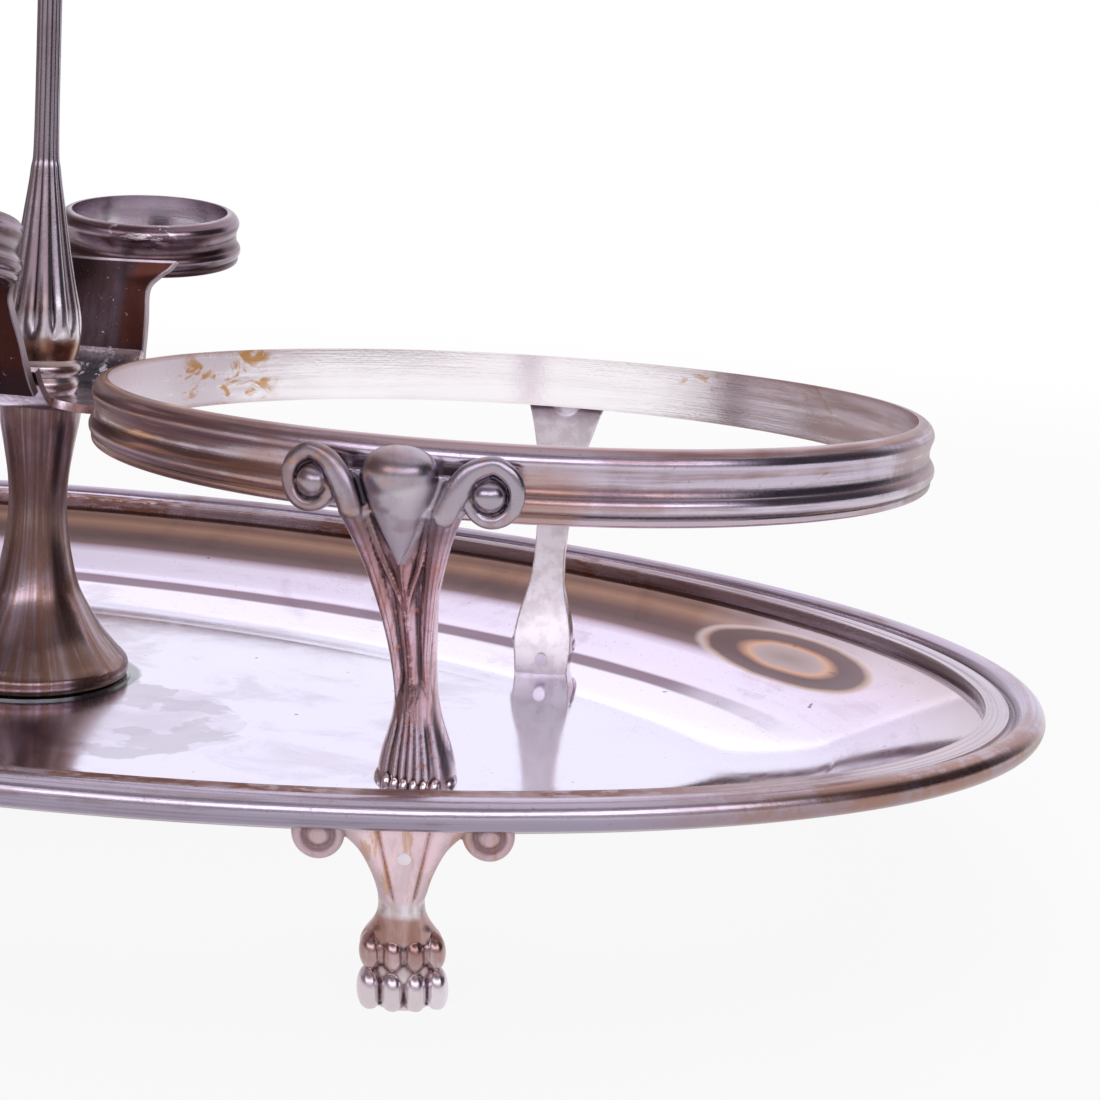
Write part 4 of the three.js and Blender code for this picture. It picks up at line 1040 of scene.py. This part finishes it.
def leg_mesh():
    bodies = [leg_core(), leg_web(), boss(), *leg_details()]
    for side in (-1, 1):
        eye = (side * (VOLUTE_X - 0.1), LEG_TOP_REACH + 1.5, VOLUTE_Z + 0.15)
        bodies += [strand(side), scroll_disc(side), ellipsoid(eye, (1.28, 1.1, 1.28), 28)]
    mesh = cast_mesh("leg", bodies, 0.12)
    at = coordinates(mesh)
    flat = at.astype(float) / MM
    share = leg_share(flat[:, 2])
    back = 1 - smoothstep(0.1, 0.45, flat[:, 1] - leg_back(share))
    store(mesh, share=np.clip(share, 0, 1), across=flat[:, 0], frost=boss_front(flat), inner=back)
    at[:, 0] += LEG_FOOT_SHIFT * (1 - np.clip(share / LEG_BEND, 0, 1)) * MM
    at[:, 1] -= smoothstep(0.6, 0.8, share) * flat[:, 0] ** 2 / (2 * LEG_TOP_REACH) * MM
    mesh.vertices.foreach_set("co", at.ravel())
    store(mesh, flow=cast_flow(at))
    store_hollows(mesh, 0.09, 18)
    return mesh


def copied(model, name, matrix):
    mesh = model.copy()
    mesh.name = name
    mesh.transform(matrix)
    return mesh


def make_legs():
    model = leg_mesh()
    for side, middle_x in (("right", RING_MIDDLE_X), ("left", -RING_MIDDLE_X)):
        for face, turn in (("front", math.pi), ("back", 0.0)):
            place = Matrix.Translation((middle_x * MM, 0, 0)) @ Matrix.Rotation(turn + LEG_TURN, 4, "Z")
            mesh = copied(model, f"cast_leg_{face}_{side}", place)
            add_piece(mesh, leg_plate, [f"leg_{face}_{side}"])
    bpy.data.meshes.remove(model)


# Feet

def foot_core():
    heights = np.linspace(0, FOOT_TOP, 130)
    tables = (along_table(table, heights) for table in (FOOT_WIDTHS, FOOT_FRONTS, FOOT_BACKS))
    u = half_circle(110)
    rings = []
    for z, w, f, b in zip(heights, *tables):
        panel = smoothstep(8.4, 9.6, z)
        x = w * u
        groove_at = 0.73 + 0.207 * (z - 8.8)
        groove = 0.36 * panel * grooves(x, groove_at, 0.15)
        roll = 0.22 * panel * smoothstep(0, 0.9, np.abs(x) - groove_at) * arch(u)
        y = b + (f - b) * (0.3 + 0.7 * arch(u) ** (1 - 0.5 * panel)) - groove + roll
        x = np.concatenate([x, [-0.9 * w, 0.9 * w]])
        rings.append(np.stack([x, np.concatenate([y, [b, b]]), np.full_like(x, z)], -1))
    return lofted(rings)


def foot_toes():
    """The paw's mass under the ankle, with a toe and a knuckle in each place."""
    bodies = [ellipsoid((0, -0.65, 4.6), (3.2, 1.3, 1.55), 60)]
    for x, y in TOES:
        bodies.append(ellipsoid((x, y, 1.40), (0.97, 1.35, 1.78), 40, 2.1))
        bodies.append(ellipsoid((x * 0.95, y + 0.2, 4.5), (0.90, 1.25, 1.5), 36))
    for points, _ in bodies:
        points[:, 2] = np.maximum(points[:, 2], 0)
    return bodies


def foot_scroll(side):
    """The scroll at the foot's shoulder: a raised rim, a groove and an eye."""
    points, faces, _, _ = turned(FOOT_SCROLL, 64)
    return facing_front(points) + (side * FOOT_SCROLL_X, 0, FOOT_SCROLL_HEIGHT), faces


def foot_mesh():
    mesh = cast_mesh("foot", [foot_core(), *foot_toes(), foot_scroll(-1), foot_scroll(1)], 0.085)
    at = coordinates(mesh)
    at[:, 2] = np.clip(at[:, 2], 0, FOOT_TOP * MM)
    mesh.vertices.foreach_set("co", at.ravel())
    edge = np.abs(at[:, 0]) / MM / along_table(FOOT_WIDTHS, at[:, 2] / MM)
    store(mesh, flow=cast_flow(at), share=at[:, 2] / (16 * MM), edge=edge)
    store_hollows(mesh, 0.11, 24)
    return mesh


def pin_mesh():
    """The round end of the pin in the foot's face."""
    outline = [(0.01, 0), (PIN_RADIUS, 0), (PIN_RADIUS, PIN_LENGTH), (PIN_RADIUS - 0.06, 1.66), (0.01, 1.68)]
    points, faces, _, _ = turned(outline, 40)
    face = along_table(FOOT_FRONTS, PIN_HEIGHT)
    mesh = mesh_of("pin", facing_front(points) + (0, face - PIN_LENGTH, PIN_HEIGHT), faces)
    store(mesh, flow=coordinates(mesh), hollow=np.zeros(len(points)))
    return mesh


def make_feet():
    model = foot_mesh()
    pin = pin_mesh()
    for spot, turn, lean in (
        ("front_right", -FOOT_TURN, -FOOT_LEAN),
        ("front_left", FOOT_TURN - math.pi, FOOT_LEAN),
        ("back_right", FOOT_TURN, FOOT_LEAN),
        ("back_left", math.pi - FOOT_TURN, -FOOT_LEAN),
    ):
        normal = Vector((math.cos(turn) / HALF_LENGTH, math.sin(turn) / HALF_WIDTH)).normalized()
        sole = Vector((HALF_LENGTH * math.cos(turn), HALF_WIDTH * math.sin(turn))) - normal * FOOT_INSET
        place = Matrix.Translation((sole.x * MM, sole.y * MM, 0))
        place = place @ Matrix.Rotation(math.atan2(-normal.x, normal.y), 4, "Z") @ Matrix.Shear("XY", 4, (lean, 0))
        add_piece(copied(model, f"paw_foot_{spot}", place), foot_plate, [f"foot_{spot}"])
        add_piece(copied(pin, f"pin_end_{spot}", place), pin_plate, [f"foot_pin_{spot}"])
    bpy.data.meshes.remove(model)
    bpy.data.meshes.remove(pin)


# Column, bridge plate and straps

def make_column():
    low, high = column_low[2], column_high[2]
    shaft = np.vstack([np.add(COLUMN_SHAFT, (0, low)), [(COLUMN_TOP_RADIUS, high)]])
    outside = np.vstack([spline(np.add(COLUMN_FOOT, (0, low)), 24), spline(shaft, 70)[1:]])
    hollow = [(ROD_HOLE_RADIUS, high), (ROD_HOLE_RADIUS, low + 15), (4.0, low + 6), (9.3, low)]
    points, faces, flow, hollows = turned(np.vstack([outside, hollow]), 120)
    mesh = mesh_of("trumpet_column", points, faces)
    store(mesh, flow=flow[:, [1, 0, 2]] * MM, hollow=hollows * 0.5)
    add_piece(mesh, column_plate, ["column"])


def strip(rows, thickness, across=24):
    """A bent strip from rows of (y, z, half width, bow radius), its thickness laid on the side of y."""
    rows = np.asarray(rows, float)
    line = np.sin(np.linspace(-np.pi / 2, np.pi / 2, across))
    rings = []
    for (y, z, half, bow), run in zip(rows, unit(np.gradient(rows[:, :2], axis=0))):
        x = half * line
        bowed = bow - np.sqrt(bow * bow - x * x) if bow else 0 * x
        inner = np.stack([x, y + bowed, np.full_like(x, z)], -1)
        outer = inner + np.array([0, thickness * run[1], -thickness * run[0]])
        rings.append(np.vstack([inner, outer[::-1]]))
    return lofted(rings)


def plate_half(y):
    """Half the bridge plate's width: the room between the rings, then wider towards its ends."""
    room = RING_MIDDLE_X - np.sqrt(LEG_TOP_REACH**2 - y * y)
    share = np.maximum((abs(y) - PLATE_FLAT_REACH) / (PLATE_END_REACH - PLATE_FLAT_REACH), 0)
    return min(room, room + (PLATE_END_WIDTH / 2 - room) * min(share * 2, 1))


def plate_bend():
    """The curve of (y, z) from the plate's flat up to its end."""
    a = np.array((PLATE_FLAT_REACH, PLATE_TOP))
    b = np.array((PLATE_FLAT_REACH + (PLATE_END_REACH - PLATE_FLAT_REACH) * 0.66, PLATE_TOP))
    c = np.array((PLATE_END_REACH, PLATE_TOP + PLATE_END_RISE))
    t = np.linspace(0, 1, 16)[:, None]
    return (1 - t) ** 2 * a + 2 * t * (1 - t) * b + t * t * c


def make_bridge():
    flat = [(y, PLATE_TOP) for y in np.linspace(0, PLATE_FLAT_REACH, 10)[:-1]]
    half_line = [*flat, *plate_bend()]
    line = [(-y, z) for y, z in half_line[:0:-1]] + half_line
    mesh = mesh_of("bridge_sheet", *strip([(y, z, plate_half(y), 0) for y, z in line], PLATE_THICKNESS))
    store(mesh, flow=coordinates(mesh))
    add_piece(mesh, bridge_plate, ["bridge_plate"])


def make_strap(face):
    near, end = plate_bend()[-2:]
    slope = (end - near) / np.linalg.norm(end - near)
    foot = end + (PLATE_THICKNESS + SOLDER_GAP) * np.array((slope[1], -slope[0]))
    reach = STOPPER_BORE_RADIUS + BAND_THICKNESS + 0.1 + STRAP_THICKNESS
    low_bead = BAND_HEIGHT * 0.76
    seat = np.array((
        STOPPER_REACH - reach * math.cos(STOPPER_TILT) + low_bead * math.sin(STOPPER_TILT),
        STOPPER_TOP - reach * math.sin(STOPPER_TILT) - low_bead * math.cos(STOPPER_TILT),
    ))
    knots = [(*(foot - 2.2 * slope), 6.3, 0.0)]
    for share, half, bend in (
        (0, 6.05, 0.0), (0.4, 5.65, 0.02), (0.75, 5.2, 0.04), (0.9, 5.9, 0.075),
        (1.0, 6.9, 1 / reach), (1.1, 7.5, 1 / reach),
    ):
        knots.append((*(foot + (seat - foot) * share), half, bend))
    rows = [(y, z, half, 1 / bend if bend > 0.004 else 0) for y, z, half, bend in spline(knots, 40)]
    points, faces = strip(rows, STRAP_THICKNESS)
    mesh = mesh_of(f"strap_sheet_{face}", points @ np.array(turned_to(face))[:3, :3].T, faces)
    at = coordinates(mesh)
    count = len(points) // len(rows)
    half = np.repeat([row[2] for row in rows], count)
    flow = np.stack([at[:, 2], at[:, 0], at[:, 1]], -1)
    store(mesh, flow=flow, share=np.repeat(np.linspace(0, 1, len(rows)), count), side=at[:, 0] / (half * MM))
    add_piece(mesh, strap_plate, [f"stopper_strap_{face}"])


# Handle

def add_turned(name, outline, node):
    points, faces, flow, hollows = turned(outline, 96)
    mesh = mesh_of(name, points, faces)
    store(mesh, flow=flow * MM, hollow=hollows)
    add_piece(mesh, handle_plate, [node])


def make_handle():
    for name, bulge in (("stem_washer", 0.25), ("stem_collar", 0.45)):
        (_, _, low), (radius, _, high) = box_mm(name)
        middle = (low + high) / 2
        side = [(radius - bulge, low), (radius, middle - 0.3), (radius, middle + 0.3), (radius - bulge, high)]
        outline = np.vstack([spline(side, 16), [(ROD_HOLE_RADIUS, high), (ROD_HOLE_RADIUS, low)]])
        add_turned(f"{name}_turned", outline, name)
    make_stem()
    knop = spline(KNOP, 60) * (knop_high[0], knop_high[2] - knop_low[2]) + (0, knop_low[2])
    add_turned("turned_knop", knop, "handle_knop")
    make_loop()


def make_stem():
    turn = full_turn(192)
    rings = []
    for radius, height in spline(STEM, 160):
        sunk = smoothstep(2.2, 4.6, height) * (1 - smoothstep(70, 73, height))
        depth = radius * (1 - 0.1 * sunk * (1 - np.abs(np.cos(FLUTES * turn / 2)) ** 0.7))
        rings.append(np.stack([depth * np.cos(turn), depth * np.sin(turn), np.full_like(turn, STEM_BASE + height)], -1))
    mesh = mesh_of("fluted_stem", *lofted(rings))
    x, y, z = coordinates(mesh).T
    store(mesh, flow=np.stack([z, np.arctan2(np.abs(y), x) * 0.003, 0 * x], -1), share=z / MM - STEM_BASE)
    store_hollows(mesh, 0.06, 10)
    add_piece(mesh, stem_plate, ["handle_stem"])


def make_loop():
    wire = loop_high[1] + 0.1
    half_width = loop_high[0] + 0.1 - wire
    middle = (loop_low[2] + loop_high[2]) / 2
    half_height = (loop_high[2] - loop_low[2]) / 2 - wire
    round_turn = np.linspace(0, 2 * np.pi, 24, endpoint=False)[:, None]
    rings = []
    for a in full_turn(160):
        centre = np.array((half_width * math.sin(a), 0, middle + half_height * math.cos(a)))
        out = unit(np.array((math.sin(a) / half_width, 0, math.cos(a) / half_height)))
        rings.append(centre + wire * (np.cos(round_turn) * out + np.sin(round_turn) * (0, 1, 0)))
    mesh = mesh_of("loop_wire", *lofted(rings, True))
    x, y, z = coordinates(mesh).T
    store(mesh, flow=np.stack([z, y, 0 * x], -1))
    add_piece(mesh, handle_plate, ["handle_loop"])


# CAD nodes that stay as they are, with a better finish

def dress_small_parts():
    finishes = {"leg_stud": pin_plate, "tie_rod": brass, "base_washer": brass, "base_nut": brass}
    for node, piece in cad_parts.items():
        for start, material in finishes.items():
            if node.startswith(start):
                piece.data.materials.clear()
                piece.data.materials.append(material)


# Stage, light and camera

BACKGROUND_SHARE = 0.88
FLOOR_HALF = 1.6
# Surroundings: by height behind the object (0 at 90 degrees down, 1 at 90 up), by direction elsewhere
# (0.5 towards the front, 0.75 towards the right).
BEHIND = (
    (0.0, (0.9, 0.88, 0.96)), (0.5, (1.0, 0.98, 1.06)), (0.60, (1.03, 1.01, 1.10)), (0.63, (0.98, 0.95, 1.05)),
    (0.65, (0.60, 0.57, 0.64)), (0.80, (0.62, 0.58, 0.67)), (0.85, (0.45, 0.41, 0.48)), (1.0, (0.35, 0.31, 0.36)),
)
AROUND = (
    (0.0, (0.9, 0.87, 0.95)), (0.12, (0.62, 0.56, 0.60)), (0.22, (0.20, 0.15, 0.14)), (0.34, (0.26, 0.21, 0.22)),
    (0.42, (0.46, 0.42, 0.46)), (0.70, (0.46, 0.42, 0.47)), (0.725, (0.05, 0.045, 0.055)),
    (0.86, (0.06, 0.05, 0.06)), (0.905, (0.66, 0.62, 0.70)), (1.0, (0.9, 0.87, 0.95)),
)


def make_stage():
    """A pale table top, seen as mostly white background that keeps part of the shadow."""
    mesh = bpy.data.meshes.new("floor")
    corners = [(x * FLOOR_HALF, y * FLOOR_HALF, 0) for x, y in ((-1, -1), (1, -1), (1, 1), (-1, 1))]
    mesh.from_pydata(corners, [], [(0, 1, 2, 3)])
    material = bpy.data.materials.new("pale_floor")
    n = Nodes(material)
    n.put(n.mix(n.noise(3.0, 3.0), (0.93, 0.92, 0.95), (0.92, 0.91, 0.94)), n.shader.inputs["Base Color"])
    n.put(0.75, n.shader.inputs["Roughness"])
    white = n.made("Emission", {"Strength": 1.0})
    rays = n.made("LightPath").outputs
    seen = n.maths("MAXIMUM", rays["Is Camera Ray"], rays["Is Glossy Ray"])
    seen = n.maths("MAXIMUM", seen, rays["Is Transmission Ray"])
    share = n.span(n.vectors("LENGTH", n.place())["Value"], 0.2, 0.7, BACKGROUND_SHARE, 1.0)
    both = n.made("MixShader", {0: n.times(seen, share), 1: n.shader, 2: white})
    n.put(both, n.tree.nodes["Material Output"].inputs["Surface"])
    mesh.materials.append(material)
    floor = bpy.data.objects.new("floor", mesh)
    bpy.context.scene.collection.objects.link(floor)


def make_world():
    world = bpy.data.worlds.new("studio")
    bpy.context.scene.world = world
    n = Nodes(world)
    x, y, z = n.axes(n.made("TexCoord").outputs["Generated"])
    turn = n.maths("ARCTAN2", x, n.times(y, -1.0))
    around = n.maths("MULTIPLY_ADD", turn, 0.5 / math.pi, 0.5)
    height = n.maths("MULTIPLY_ADD", n.maths("ARCSINE", z), 1 / math.pi, 0.5)
    front = n.mix(n.span(height, 0.72, 0.78), n.ramp(around, AROUND), (0.24, 0.21, 0.25))
    strip_light = n.between(height, 0.592, 0.612, 0.675, 0.70)
    front = n.tint(front, (2.6, 2.5, 2.8), strip_light, n.between(around, 0.36, 0.44, 0.69, 0.72))
    behind = n.span(n.maths("ABSOLUTE", n.maths("SUBTRACT", around, 0.5)), 0.36, 0.42)
    colour = n.mix(behind, front, n.ramp(height, BEHIND))
    colour = n.mix(n.made("LightPath").outputs["Is Camera Ray"], colour, (1.0, 1.0, 1.0))
    background = n.tree.nodes["Background"].inputs
    n.put(colour, background["Color"])
    n.put(1.0, background["Strength"])


def make_light():
    """Soft light from a wide stretch of the ceiling."""
    light = bpy.data.lights.new("ceiling", "SUN")
    light.angle = math.radians(92)
    light.energy = 0.9
    lamp = bpy.data.objects.new("ceiling", light)
    lamp.rotation_euler = (math.radians(-21), 0, 0)
    bpy.context.scene.collection.objects.link(lamp)
    make_world()


def make_camera():
    right = Vector((0.95550, 0.29118, 0.04721))
    up = Vector((-0.07938, 0.09969, 0.99185))
    camera = bpy.data.cameras.new("camera")
    camera.lens = 55.944
    camera.sensor_width = 36.0
    camera.shift_x = 0.16
    camera.shift_y = -0.136
    camera.clip_start = 0.01
    eye = bpy.data.objects.new("camera", camera)
    place = Matrix.Translation(Vector((88.9, -169.0, 62.37)) * MM)
    eye.matrix_world = place @ Matrix((right, up, right.cross(up))).transposed().to_4x4()
    bpy.context.scene.collection.objects.link(eye)
    bpy.context.scene.camera = eye


make_camera()
make_tray()
make_rim()
make_bottle_ring("right", RING_MIDDLE_X)
make_bottle_ring("left", -RING_MIDDLE_X)
make_legs()
make_feet()
make_column()
make_bridge()
for face, roll in (("front", 0.0), ("back", STOPPER_ROLL)):
    make_strap(face)
    make_stopper_ring(face, roll)
make_handle()
dress_small_parts()
make_stage()
make_light()
bpy.context.scene.view_settings.view_transform = "Standard"
